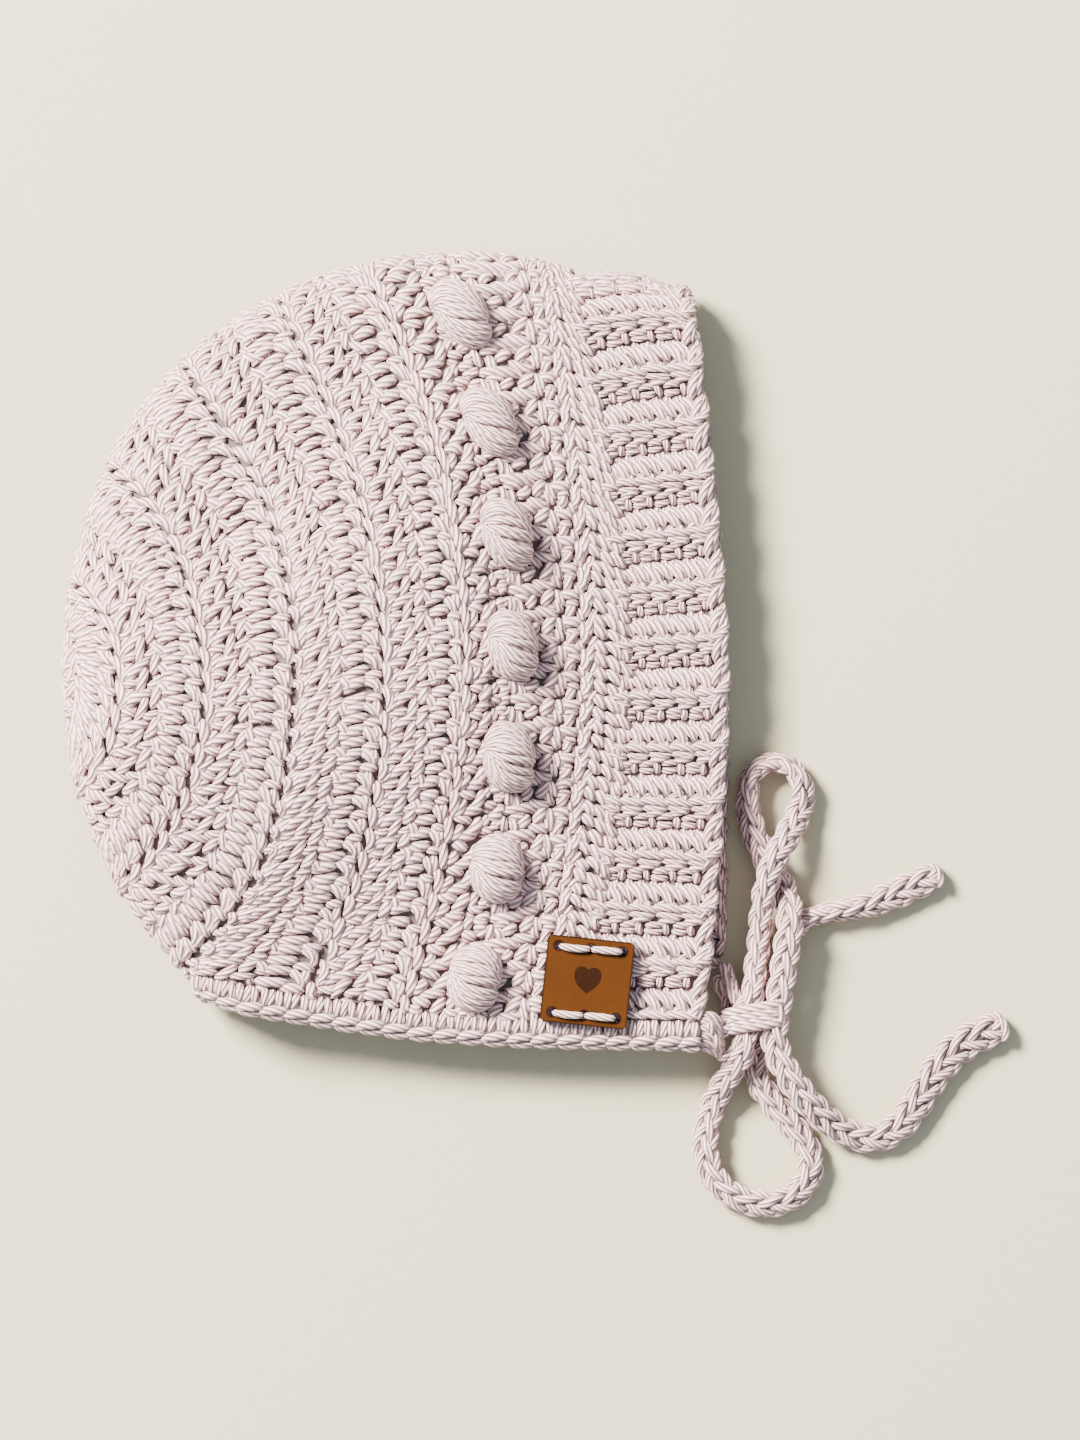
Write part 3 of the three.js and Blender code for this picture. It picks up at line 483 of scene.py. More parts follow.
class Cloth:
    """The cloth's outer face, kept as a fine grid of points and outward normals.

    A place on it is a round and an around: 0 to 1 from the near side's neck edge to the top fold, then
    1 to 2 down the far side.
    """

    HALF = 160
    ROWS = 184
    EVENS = 100

    def __init__(self):
        self.rounds = np.linspace(0, FRONT_EDGE, self.ROWS)
        turn = np.linspace(0, math.pi, self.HALF + 1)
        self.shares = (1 - np.cos(turn)) / 2
        near, near_length = self.side(far=False)
        far, far_length = self.side(far=True)
        far = far[:, ::-1]
        self.lengths = [near_length, far_length]
        self.girths = []
        evened = []
        even = np.linspace(0, 1, self.EVENS + 1)
        for half in (near, far):
            girth = run(half)
            self.girths.append(girth[:, -1])
            total = np.maximum(girth[:, -1:], 1e-6)
            evened.append(np.array([np.interp(even, row, self.shares) for row in girth / total]))
        self.evened = np.concatenate(evened, axis=1)
        self.points = np.concatenate([near, far[:, 1:]], axis=1)
        self.normals = self.outward()

    def outward(self):
        """Normals from points a few steps apart, so that the fold's fine steps don't tilt them."""
        reach = 5
        loops = self.points[:, :-1]
        along = np.roll(loops, -reach, axis=1) - np.roll(loops, reach, axis=1)
        along = np.concatenate([along, along[:, :1]], axis=1)
        places = np.arange(2 * self.HALF + 1)
        before = np.clip(places - reach, 0, 2 * self.HALF)
        after = np.clip(places + reach, 0, 2 * self.HALF)
        opened = self.points[:, after] - self.points[:, before]
        closed = (self.rounds <= LAST_CLOSED)[:, None, None]
        rows = np.arange(self.ROWS)
        across = self.points[np.minimum(rows + 2, self.ROWS - 1)] - self.points[np.maximum(rows - 2, 0)]
        normals = np.cross(across, np.where(closed, along, opened))
        normals[:3] = [-1, 0, 0]
        return unit(normals)

    def side(self, far):
        rounds = self.rounds
        places = [plan_place(rounds, column) for column in (NECK, LOW, SIDE, HIGH, FOLD)]
        if far:
            slip = smoothstep(rounds, FAR_SLIP, FRONT_EDGE)[:, None] * np.array([FAR_FORWARD, FAR_RISE])
            places[0] = places[0] + slip
            places[1] = places[1] + 0.3 * slip
        plan, length = even_spline(places, self.shares)
        loft = self.loft()
        reach = distance_to_line(plan, self.fold_line())
        reach[:, -1] = 0
        reach[rounds <= LAST_CLOSED, 0] = 0
        reach[0] = 0
        depth_in = np.minimum(reach / (FOLD_ROUNDNESS * loft), 1)
        rise = np.sqrt(1 - (1 - depth_in) ** 2)
        if far:
            step = np.abs(rounds - BOBBLE_ROUND)[:, None]
            height = loft / 2 * (1 - rise) + FAR_BOBBLE_LIFT * rise * (1 - smoothstep(step, 0.75, 1.8))
        else:
            height = loft / 2 * (1 + rise) - self.dents(plan) * rise
        return np.concatenate([plan, height[..., None]], axis=2), length

    def fold_line(self):
        back = plan_place(np.arange(LAST_CLOSED, 0, -0.125), NECK)
        top = plan_place(np.arange(0, FRONT_EDGE, 0.125), FOLD)
        onward = back[0] - plan_place(np.array([LAST_CLOSED - 0.5]), NECK)[0]
        start = back[0] + unit(onward) * DEPTH / 2
        end = top[-1] + [DEPTH / 2, 0]
        return np.concatenate([[start], back, top, [end]])

    def loft(self):
        full = [column_at(self.rounds, column)[:, None] for column in (FULL_NECK, FULL_SIDE, FULL_FOLD)]
        from_neck = smoothstep(self.shares, 0, 0.42)
        to_fold = smoothstep(self.shares, 0.58, 1)
        fullness = full[0] * (1 - from_neck) + full[1] * (from_neck - to_fold) + full[2] * to_fold
        return BRIM_LOFT + (CROWN_LOFT - BRIM_LOFT) * fullness

    def dents(self, plan):
        depth = np.zeros(plan.shape[:-1])
        for across, up, reach, deep in DENTS:
            gap = np.linalg.norm(plan - [across * DEPTH, up * HEIGHT], axis=-1) / (reach * CROWN_LOFT)
            depth += deep * CROWN_LOFT * np.exp(-(gap**2))
        return depth

    def row(self, rounds):
        return np.clip(rounds / FRONT_EDGE * (self.ROWS - 1), 0, self.ROWS - 1.000001)

    def halved(self, rounds, arounds):
        """The side each place lies on, 0 or 1, and its share of that side. Closed rounds go on."""
        arounds = np.where(rounds <= LAST_CLOSED, arounds % 2, np.clip(arounds, 0, 2))
        half = np.where(arounds > 1, 1, 0)
        return half, arounds - half

    def at(self, rounds, arounds):
        """Points of the outer face and their outward normals."""
        half, share = self.halved(rounds, arounds)
        turn = np.arccos(np.clip(1 - 2 * share, -1, 1)) / math.pi
        place = np.clip((half + turn) * self.HALF, 0, 2 * self.HALF - 0.000001)
        row = self.row(rounds)
        return between(self.points, row, place), unit(between(self.normals, row, place))

    def spread(self, rounds, evens):
        """Turns even shares of the cloth's own girth into arounds."""
        half, share = self.halved(rounds, evens)
        place = half * (self.EVENS + 1) + np.clip(share * self.EVENS, 0, self.EVENS - 0.0001)
        return half + between(self.evened, self.row(rounds), place)

    def length(self, at_round, far):
        return float(np.interp(at_round, self.rounds, self.lengths[int(far)]))

    def girth(self, at_round, far):
        return float(np.interp(at_round, self.rounds, self.girths[int(far)]))


# The cloth is set down where the crown's solid lies, and its brow rises in front of the brim's seam.
cloth = Cloth()
crown_low, crown_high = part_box("crown")
in_crown = cloth.rounds <= BRIM_START
cloth.points[..., 0] += crown_low[0] / MM - cloth.points[..., 0].min()
cloth.points[..., 1] += crown_high[1] / MM - cloth.points[in_crown][..., 1].max()
cloth.points[..., 1] += BROW_RISE * np.outer(
    np.sin(math.pi * np.clip((cloth.rounds - BRIM_START) / 1.3, 0, 1)),
    smoothstep(np.concatenate([cloth.shares, cloth.shares[-2::-1]]), 0.75, 1),
)
knot_low = np.array(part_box("bow_knot")[0]) / MM
corner = np.array([knot_low[0] - KNOT_LEFT, knot_low[1] - KNOT_BOTTOM, 0])


def from_neck(arounds):
    """The share of the near or the far side's outline from the neck edge."""
    return np.where(arounds > 1, 2 - arounds, arounds)


def rib_tilt(rounds, arounds):
    """How far the ribs climb towards the front, more so near the top fold."""
    climb = RIB_TILT * (rounds - (BRIM_START + BRIM_END) / 2) * smoothstep(from_neck(arounds), 0.1, 0.8)
    return np.where(arounds > 1, -climb, climb)


def rib_inset(rounds, arounds):
    share = from_neck(arounds - rib_tilt(rounds, arounds))
    return RIB_DEPTH * (0.5 - 0.5 * np.cos(2 * math.pi * (share * RIB_COUNT - RIB_PHASE)))


# Meshes.


def mesh_object(name, points, faces, uvs, shades, material):
    """A smooth mesh of four-cornered faces, in millimetres. Shades are [how dark its painted shade is,
    random tint] at a point.
    """
    mesh = bpy.data.meshes.new(name)
    mesh.vertices.add(len(points))
    mesh.vertices.foreach_set("co", (points * MM).astype(np.float32).ravel())
    mesh.loops.add(faces.size)
    mesh.loops.foreach_set("vertex_index", faces.astype(np.int32).ravel())
    mesh.polygons.add(len(faces))
    mesh.polygons.foreach_set("loop_start", np.arange(0, faces.size, 4, dtype=np.int32))
    mesh.polygons.foreach_set("use_smooth", np.ones(len(faces), dtype=bool))
    layer = mesh.uv_layers.new(name="yarn")
    layer.data.foreach_set("uv", uvs.astype(np.float32).ravel())
    colour = mesh.attributes.new("shade", "FLOAT_COLOR", "POINT")
    rows = np.concatenate([shades, np.zeros((len(shades), 1)), np.ones((len(shades), 1))], axis=1)
    colour.data.foreach_set("color", rows.astype(np.float32).ravel())
    mesh.update(calc_edges=True)
    mesh.validate()
    mesh.materials.append(material)
    piece = bpy.data.objects.new(name, mesh)
    bpy.context.scene.collection.objects.link(piece)
    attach(piece, body)
    return piece


class Strands:
    """Short plump strands of yarn that are gathered into one piece."""

    def __init__(self, name, sides, steps):
        self.name = name
        self.sides = sides
        self.steps = steps
        self.parts = []

    def add(self, lines, normals, widths, plump=0.35, deep=0.35):
        """Adds strands along lines of points [strand, step, xyz], with one width each.

        plump is how thin their ends get, and deep how dark their ends are painted, as painted shade.
        """
        self.parts.append((lines, normals, np.broadcast_to(widths, len(lines)), plump, deep))

    def tube(self, lines, normals, widths, plump, deep):
        count, stations = lines.shape[:2]
        share = np.linspace(0, 1, stations)
        swell = np.sin(math.pi * share) ** 0.75
        radii = widths[:, None] / 2 * (1 - plump + plump * swell)
        radii[:, [0, -1]] *= CAP
        along = unit(np.gradient(lines, axis=1))
        aside = unit(np.cross(normals, along))
        up = np.cross(along, aside)
        turns = np.arange(self.sides) * 2 * math.pi / self.sides
        aside, up = aside[:, :, None, :], up[:, :, None, :]
        ring = np.cos(turns)[:, None] * aside + FLATTEN * np.sin(turns)[:, None] * up
        points = lines[:, :, None, :] + radii[:, :, None, None] * ring
        points[..., 2] = np.maximum(points[..., 2], 0)
        length = run(lines) + rng.uniform(0, YARN_LAY, (count, 1))
        number = np.arange(count * stations * self.sides).reshape(count, stations, self.sides)
        after = np.roll(number, -1, axis=2)
        corners = [number[:, :-1], after[:, :-1], after[:, 1:], number[:, 1:]]
        faces = np.stack(corners, axis=-1).reshape(-1, 4)
        around = np.broadcast_to(np.arange(self.sides) / self.sides, corners[0].shape)
        beyond = around + 1 / self.sides
        start = np.broadcast_to(length[:, :-1, None], around.shape)
        end = np.broadcast_to(length[:, 1:, None], around.shape)
        uvs = np.stack([around, start, beyond, start, beyond, end, around, end], axis=-1).reshape(-1, 2)
        # Painted shade: each strand is darker towards its ends and on its underside and lower sides.
        ends = deep * (1 - np.sin(math.pi * share) ** 0.6)
        sides = SIDE_SHADE * np.clip(1 - np.sin(turns), 0, 1) ** 1.5
        dark = np.maximum(ends[:, None], sides[None, :])
        dark = np.broadcast_to(dark, (count, stations, self.sides))
        tint = np.broadcast_to(rng.uniform(0, 1, (count, 1, 1)), dark.shape)
        shades = np.stack([dark, tint], axis=-1).reshape(-1, 2)
        return points.reshape(-1, 3), faces, uvs, shades

    def build(self, material):
        points, faces, uvs, shades = zip(*(self.tube(*part) for part in self.parts))
        counts = np.cumsum([0] + [len(rows) for rows in points])
        faces = [rows + count for rows, count in zip(faces, counts)]
        return mesh_object(self.name, *map(np.concatenate, (points, faces, uvs, shades)), material)


def bowed(start, middle, end, steps):
    """Lines of steps through three places each."""
    share = np.linspace(0, 1, steps + 1)[None, :, None]
    start, middle, end = (np.asarray(place)[:, None, :] for place in (start, middle, end))
    return (
        start * (1 - share) * (1 - 2 * share)
        + middle * 4 * share * (1 - share)
        + end * share * (2 * share - 1)
    )


def lay_stitches(
    strands, table, cells, size, face, jitter=0.24, dip=0.8, reach_past=0.13, even=True
):
    """Lays the strands of each stitch on the cloth.

    cells are rows of the round and around of a stitch's own corner, and the rounds and arounds across and
    down it. size is a stitch in millimetres, the same two ways. jitter and dip, which lowers a strand's
    ends, are in millimetres. Where even is set, arounds are shares of the cloth's own girth.
    """
    cells = np.asarray(cells)
    for row in table:
        past = (np.array(row[2:4]) - row[0:2]) * reach_past
        start = np.array(row[0:2]) - past
        end = np.array(row[2:4]) + past
        bow, width, lift = row[4:7]
        reach = (end - start) * size
        middle = (start + end) / 2 + np.array([reach[1], -reach[0]]) * bow / size
        astray = rng.normal(0, jitter, (3, len(cells), 2)) / size
        widths = FULLNESS * width * rng.uniform(0.9, 1.12, len(cells))
        places = []
        for number, place in enumerate((start, middle, end)):
            at = cells[:, 0:2] + (place + astray[number]) * cells[:, 2:4]
            depth = np.full(len(cells), lift - (0 if number == 1 else dip))
            places.append(np.concatenate([at, depth[:, None]], axis=1))
        rounds, arounds, depth = np.moveaxis(bowed(*places, strands.steps), -1, 0)
        if even:
            arounds = cloth.spread(rounds, arounds)
        else:
            arounds = arounds + rib_tilt(rounds, arounds)
        points, normals = cloth.at(rounds, arounds)
        offset, sign = face
        depth = offset(rounds, arounds) + sign * (depth - widths[:, None] / 2 * FLATTEN)
        strands.add(points + normals * depth[..., None], sign * normals, widths)


def round_cells(first, width, counts, far):
    """One stitch a place round the near or far side, from one round across to another."""
    shares = (np.arange(counts) + 0.5 + rng.uniform(-0.1, 0.1)) / counts
    return [(first, share + (1 if far else 0), width, -1 / counts) for share in shares]


def below(depth, ribbed=False):
    """How far off the cloth's outer face something lies that is this deep under it, or under its ribs."""

    def offset(rounds, arounds):
        inset = rib_inset(rounds, arounds) if ribbed else np.zeros_like(arounds)
        return -inset - depth

    return offset


def stitch_count(at_round, far, pitch=STITCH):
    return max(2, round(cloth.girth(at_round, far) / pitch))


def crown_stitches(back, front, far, face, least=-2):
    """The crown's rounds. Strands that lie deeper in the cloth than least are left out."""

    def lay(strands, table, size):
        lay_stitches(strands, [row for row in table if row[6] > least], cells, size, face)

    for first in range(1, 6):
        strands = back if first < 4 else front
        pitch = STITCH if first < 5 else SINGLE_PITCH
        cells = round_cells(first, 1, stitch_count(first, far, pitch), far)
        lay(strands, COLUMN_STITCH + LOOP_STITCH, (TALL_ROW, STITCH))
        if first < 5:
            lay(strands, POST_STITCH, (TALL_ROW, STITCH))
        else:
            lay(strands, BEFORE_BOBBLES, (BEFORE_ROW, SINGLE_PITCH))
    cells = round_cells(0, 1, stitch_count(0.4, far), far)
    lay(back, POST_STITCH, (FIRST_ROW, STITCH))
    for first, table, row in ((6, AFTER_BOBBLES, AFTER_ROW), (7, SINGLE_STITCH, SINGLE_ROW)):
        cells = round_cells(first, 1, stitch_count(first + 0.5, far, SINGLE_PITCH), far)
        lay(front, table, (row, SINGLE_PITCH))


def brim_stitches(strands, far, face, ends):
    """The brim's ribs from the top fold down, their ends at the border, and chains along the fold."""
    across = (BRIM_END - BRIM_START) * RIB_STITCH_PITCH / RIB_LENGTH
    first = BRIM_START + across * RIB_START
    down = (1 if far else -1) / RIB_COUNT
    cells = []
    for number in range(RIB_COUNT + 2):
        top = (number + RIB_PHASE) / RIB_COUNT
        for stitch in range(-2, RIB_STITCHES):
            cells.append((first + across * stitch, 2 - top if far else top, across, down))
    cells = np.array(cells)
    size = (RIB_STITCH_PITCH, RIB_PITCH)
    for row in RIB_STITCH:
        middle = cells[:, 0] + across * (row[0] + row[2]) / 2
        up = cells[:, 1] + cells[:, 3] * (row[1] + row[3]) / 2
        up = up + rib_tilt(middle, up)
        fits = (middle > BRIM_START - 0.02) & (middle < BRIM_END + 0.02)
        fits &= (up > 1) & (up < 1.996) if far else (up > 0.004) & (up < 1)
        lay_stitches(strands, [row], cells[fits], size, face, 0.12, 0.6, 0.07, even=False)
    if ends:
        starts = [cell for cell in cells if abs(cell[0] - first) < 1e-6 and 0.03 < cell[1] < 1.97]
        lay_stitches(strands, RIB_END, starts, size, face, 0.12, 0.6, even=False)
    folds = [1 + (place if far else -place) for place in FOLD_ROWS]
    cells = [
        (BRIM_START + across * stitch, fold, across, 0.02) for fold in folds for stitch in range(-2, 5)
    ]
    lay_stitches(strands, FOLD_STITCH, cells, (RIB_STITCH_PITCH, 2), face, 0.15, even=False)


def border_stitches(strands, far, face):
    cells = round_cells(BRIM_END, FRONT_EDGE - BRIM_END, stitch_count(9, far, BORDER_PITCH), far)
    lay_stitches(strands, BORDER_STITCH, cells, (BORDER_ROW, BORDER_PITCH), face, 0.15, 0.5)


# Materials.


class Look:
    """A material with one shader, and short ways to add nodes to it."""

    def __init__(self, name, roughness, specular=0.5):
        self.material = bpy.data.materials.new(name)
        self.material.use_nodes = True
        self.nodes = self.material.node_tree.nodes
        self.shader = self.nodes["Principled BSDF"]
        self.fill(self.shader.inputs["Roughness"], roughness)
        self.fill(self.shader.inputs["Specular IOR Level"], specular)

    def fill(self, socket, value):
        """Gives a socket a number, a colour or another node's output."""
        if isinstance(value, (int, float)):
            socket.default_value = value
        elif isinstance(value, tuple):
            socket.default_value = (*value, 1)
        else:
            self.material.node_tree.links.new(value, socket)

    def node(self, kind, **values):
        """A node with its inputs filled, each named by its socket with _ for a space."""
        node = self.nodes.new("ShaderNode" + kind)
        for name, value in values.items():
            self.fill(node.inputs[name.replace("_", " ")], value)
        return node

    def maths(self, operation, *values):
        node = self.node("Math")
        node.operation = operation
        for socket, value in zip(node.inputs, values):
            self.fill(socket, value)
        return node.outputs[0]

    def mixed(self, factor, first, second):
        node = self.node("Mix")
        node.data_type = "RGBA"
        for number, value in ((0, factor), (6, first), (7, second)):
            self.fill(node.inputs[number], value)
        return node.outputs[2]

    def place(self):
        return self.node("TexCoord").outputs["Object"]

    def noise(self, scale, detail):
        return self.node("TexNoise", Vector=self.place(), Scale=scale, Detail=detail).outputs["Fac"]

    def finish(self, colour, height, strength, distance):
        """Joins up the shader's colour and its bump, and gives the material."""
        bump = self.node("Bump", Strength=strength, Distance=distance, Height=height)
        self.fill(self.shader.inputs["Base Color"], colour)
        self.fill(self.shader.inputs["Normal"], bump.outputs[0])
        return self.material


def yarn_material(name, light):
    """Plied cotton: soft plies wound round each strand, with painted shade in their grooves, at its ends
    and along its lower sides.
    """
    look = Look(name, 0.46, 0.6)
    layer = look.node("UVMap")
    layer.uv_map = "yarn"
    parts = look.node("SeparateXYZ", Vector=layer.outputs[0]).outputs
    turned = look.maths("SUBTRACT", parts["X"], look.maths("DIVIDE", parts["Y"], YARN_LAY))
    ply = look.maths("ABSOLUTE", look.maths("SINE", look.maths("MULTIPLY", turned, YARN_PLIES * math.pi)))
    fibre = look.noise(1600, 3)
    shade = look.node("Attribute")
    shade.attribute_name = "shade"
    values = look.node("SeparateColor", Color=shade.outputs["Color"]).outputs
    # Painted shade: the ply grooves take a dark colour.
    colour = look.mixed(look.maths("POWER", ply, 1.9), YARN_GROOVE_SHADE, light)
    colour = look.mixed(look.maths("MULTIPLY", values["Green"], 0.16), colour, YARN_TINT)
    speck = look.maths("MULTIPLY", look.maths("SUBTRACT", fibre, 0.5), 0.5)
    colour = look.mixed(look.maths("MAXIMUM", speck, 0), colour, YARN_SPECK)
    colour = look.mixed(look.maths("MULTIPLY", look.noise(55, 2), 0.14), colour, YARN_CLOUD)
    # Painted shade from the shade attribute: darker ends and lower sides.
    colour = look.mixed(values["Red"], colour, YARN_SHADE)
    look.fill(look.shader.inputs["Sheen Weight"], 0.2)
    look.fill(look.shader.inputs["Sheen Roughness"], 0.45)
    return look.finish(colour, look.maths("ADD", ply, look.maths("MULTIPLY", fibre, 0.35)), 0.9, 0.00035)


def under_material():
    """The yarn seen between the strands, painted dark as shade."""
    look = Look("shaded yarn", 0.9, 0.1)
    fibre = look.noise(900, 3)
    return look.finish(look.mixed(fibre, *UNDER_YARN_SHADE), fibre, 0.86, 0.0005)


def tag_material():
    """Tan leather, cut by a laser: dark burnt edges and rings round its holes, and a heart."""
    look = Look("tan leather", 0.7, 0.05)
    moved = look.node("Mapping", Vector=look.place())
    moved.vector_type = "TEXTURE"
    moved.inputs["Location"].default_value = np.mean(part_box("leather_tag"), axis=0)
    moved.inputs["Rotation"].default_value = (0, 0, TAG_TURN)
    moved.inputs["Scale"].default_value = (MM, MM, MM)
    parts = look.node("SeparateXYZ", Vector=moved.outputs[0]).outputs
    up = look.maths("ABSOLUTE", parts["Y"])
    widest = look.maths("MAXIMUM", look.maths("ABSOLUTE", parts["X"]), up)
    edge = look.maths("SUBTRACT", TAG_SIDE / 2, widest)
    column = look.maths("ROUND", look.maths("DIVIDE", parts["X"], HOLE_PITCH))
    aside = look.maths("SUBTRACT", parts["X"], look.maths("MULTIPLY", column, HOLE_PITCH))
    above = look.maths("SUBTRACT", up, TAG_SIDE / 2 - HOLE_INSET)
    aside_square, above_square = (look.maths("MULTIPLY", value, value) for value in (aside, above))
    hole = look.maths("SQRT", look.maths("ADD", aside_square, above_square))
    near = look.maths("MINIMUM", edge, look.maths("SUBTRACT", hole, 1))
    burnt = look.node("MapRange", Value=near, From_Min=0.45, From_Max=0.12).outputs[0]
    wide, high = (look.maths("DIVIDE", parts[axis], HEART_SIZE) for axis in "XY")
    wide_square, high_square = (look.maths("MULTIPLY", value, value) for value in (wide, high))
    rounded = look.maths("SUBTRACT", look.maths("ADD", wide_square, high_square), 1)
    cube = look.maths("POWER", look.maths("ABSOLUTE", rounded), 3)
    cube = look.maths("MULTIPLY", cube, look.maths("SIGN", rounded))
    lobes = look.maths("MULTIPLY", wide_square, look.maths("MULTIPLY", high_square, high))
    heart = look.maths("LESS_THAN", look.maths("SUBTRACT", cube, lobes), 0)
    normal = look.node("NewGeometry").outputs["Normal"]
    side = look.maths("LESS_THAN", look.node("SeparateXYZ", Vector=normal).outputs["Z"], 0.6)
    dark = look.maths("MAXIMUM", look.maths("MAXIMUM", burnt, side), heart)
    grain = look.noise(1400, 4)
    colour = look.mixed(look.noise(120, 3), *LEATHER)
    colour = look.mixed(look.maths("MULTIPLY", grain, 0.35), colour, LEATHER_GRAIN)
    return look.finish(look.mixed(dark, colour, LEATHER_BURNT), grain, 0.35, 0.0002)


# Camera and ties.


def add_camera():
    camera = bpy.data.cameras.new("camera")
    camera.sensor_fit = "VERTICAL"
    camera.sensor_height = SENSOR
    camera.lens = SENSOR * CAMERA_DISTANCE / VIEW_HEIGHT
    camera.clip_end = 20
    eye = bpy.data.objects.new("camera", camera)
    eye.location = (VIEW_CENTRE[0] * MM, VIEW_CENTRE[1] * MM, (VIEW_CENTRE[2] + CAMERA_DISTANCE) * MM)
    bpy.context.scene.collection.objects.link(eye)
    bpy.context.scene.camera = eye


def smooth_route(route, step=0.5):
    """Even points on a smooth curve through a route's places, in the row's frame."""
    places = np.array([place if len(place) == 3 else (*place, TIE_REST) for place in route]) + corner
    places = np.concatenate([[2 * places[0] - places[1]], places, [2 * places[-1] - places[-2]]])
    fine = []
    for first, start, end, last in zip(places[:-3], places[1:-2], places[2:-1], places[3:]):
        knots = [0.0]
        for low, high in ((first, start), (start, end), (end, last)):
            knots.append(knots[-1] + max(np.linalg.norm(high - low), 1e-6) ** 0.5)
        for time in np.linspace(knots[1], knots[2], 12, endpoint=False):
            span = knots[2] - knots[1]
            slope_start = (start - first) / (knots[1] - knots[0]) - (end - first) / (knots[2] - knots[0])
            slope_start = (slope_start + (end - start) / span) * span
            slope_end = (end - start) / span - (last - start) / (knots[3] - knots[1])
            slope_end = (slope_end + (last - end) / (knots[3] - knots[2])) * span
            fine.append(hermite((time - knots[1]) / span, start, end, slope_start, slope_end))
    fine.append(places[-2])
    fine = np.array(fine)
    lengths = run(fine)
    return read(np.linspace(0, lengths[-1], max(2, round(lengths[-1] / step)) + 1), lengths, fine)


def tie_section(points, roll):
    """A tie's middle line kept above the table, and its sideways and upward directions."""
    share = np.linspace(0, 1, len(points))
    along = unit(np.gradient(points, axis=0))
    aside = unit(np.cross([0, 0, 1], along * [1, 1, 0.2]))
    up = unit(np.cross(along, aside))
    turn = np.interp(share, *zip(*roll)) * math.pi / 2
    cos, sin = np.cos(turn)[:, None], np.sin(turn)[:, None]
    wide = aside * cos + up * sin
    thick = up * cos - aside * sin
    low = TIE_WIDTH / 2 * np.abs(wide[:, 2]) + TIE_THICKNESS / 2 * np.abs(thick[:, 2]) + 0.1
    middle = points.copy()
    middle[:, 2] = np.maximum(middle[:, 2], low)
    return middle, wide, thick


def tie(name, route, roll, spread):
    """A flat crocheted cord: columns of slanting strands round a core, with a rounded end."""
    middle, wide, thick = tie_section(smooth_route(route), roll)
    lengths = run(middle)
    total = lengths[-1]
    strands = Strands(name, 8, 8)

    def at(distance, angle, width):
        taper = np.clip((total - distance) / 2.5, 0, 1) ** 0.5 * 0.35 + 0.65
        broad = np.interp(distance / total, *zip(*spread))
        place, sideways, upward = (read(distance, lengths, rows) for rows in (middle, wide, thick))
        reach = ((TIE_WIDTH * broad - width) / 2 * taper * np.cos(angle))[..., None]
        lift = ((TIE_THICKNESS - width) / 2 * taper * np.sin(angle))[..., None]
        out = reach * sideways + lift * upward
        return place + out, unit(out)

    share = np.linspace(0, 1, strands.steps + 1)[None, :]
    for column in range(TIE_COLUMNS):
        odd = column % 2
        slant = TIE_SLANT * (1 - 2 * odd)
        start = np.arange(-TIE_STRAND / 2, total - TIE_STRAND * 0.7, TIE_PITCH) + odd * TIE_PITCH / 2
        start = start + rng.uniform(-0.25, 0.25, len(start))
        distance = np.clip(start[:, None] + TIE_STRAND * share, 0, total)
        turned = 2 * math.pi * column / TIE_COLUMNS + slant * (2 * share - 1) * 1.6
        dip = 0.8 * (2 * share - 1) ** 2
        line, out = at(distance, np.broadcast_to(turned, distance.shape), TIE_YARN + 2 * dip)
        strands.add(line, out, TIE_YARN)
    # Two strands round the end.
    turn = np.linspace(-math.pi / 2, math.pi / 2, strands.steps + 1)[:, None]
    heading = unit(middle[-1] - middle[-3])
    reach = (TIE_WIDTH * spread[-1][1] - TIE_YARN) / 2
    for lift in (-0.8, 0.8):
        line = middle[-1] + np.cos(turn) * heading * (reach - 1.2) + np.sin(turn) * wide[-1] * reach
        line = line - heading * 1.0 + thick[-1] * lift
        strands.add(line[None], np.broadcast_to(thick[-1], line.shape)[None], TIE_YARN, plump=0.2)
    piece = strands.build(yarn)
    # The core is painted dark, as the shade seen between the tie's strands.
    core = Strands(name + "_core", 8, 1)
    core.add(middle[None], thick[None], TIE_THICKNESS - 1.7, plump=0.05, deep=0)
    return piece, core.build(shaded), middle * MM, total * MM


def add_tie(name, nodes, route, roll, spread):
    piece, core, line, total = tie(name, route, roll, spread)
    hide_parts(*nodes)


def add_knot():
    """Strands wound over the crossing of the loops and tails."""
    strands = Strands("knot_strands", 8, 24)
    middle = np.array([(KNOT_LEFT + KNOT_RIGHT) / 2, 0, KNOT_HEIGHT / 2])
    reach = (KNOT_RIGHT - KNOT_LEFT) / 2 - 0.5
    high = KNOT_HEIGHT / 2 - 0.9
    turn = np.linspace(-0.15 * math.pi, 1.15 * math.pi, strands.steps + 1)
    rounding = np.abs(np.cos(turn)) ** 0.7 * np.sign(np.cos(turn))
    for number in range(KNOT_STRANDS):
        share = number / (KNOT_STRANDS - 1)
        gathered = 0.8 + 0.2 * rounding
        across = (KNOT_BOTTOM + KNOT_TOP) / 2 + (share - 0.5) * (KNOT_TOP - KNOT_BOTTOM - 1.6) * gathered
        line = [
            (reach - 0.5 + 0.5 * math.cos(2.3 * number)) * rounding,
            across + KNOT_SLANT * reach * rounding + 0.3 * np.sin(2 * turn + number),
            high * np.abs(np.sin(turn)) ** 0.6 * np.sign(np.sin(turn)),
        ]
        line = np.stack(line, axis=1)
        out = unit(line * [1, 0, 1])
        strands.add((line + middle + corner)[None], out[None], 2.3, plump=0.15, deep=0.2)
    piece = strands.build(yarn)
    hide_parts("bow_knot")


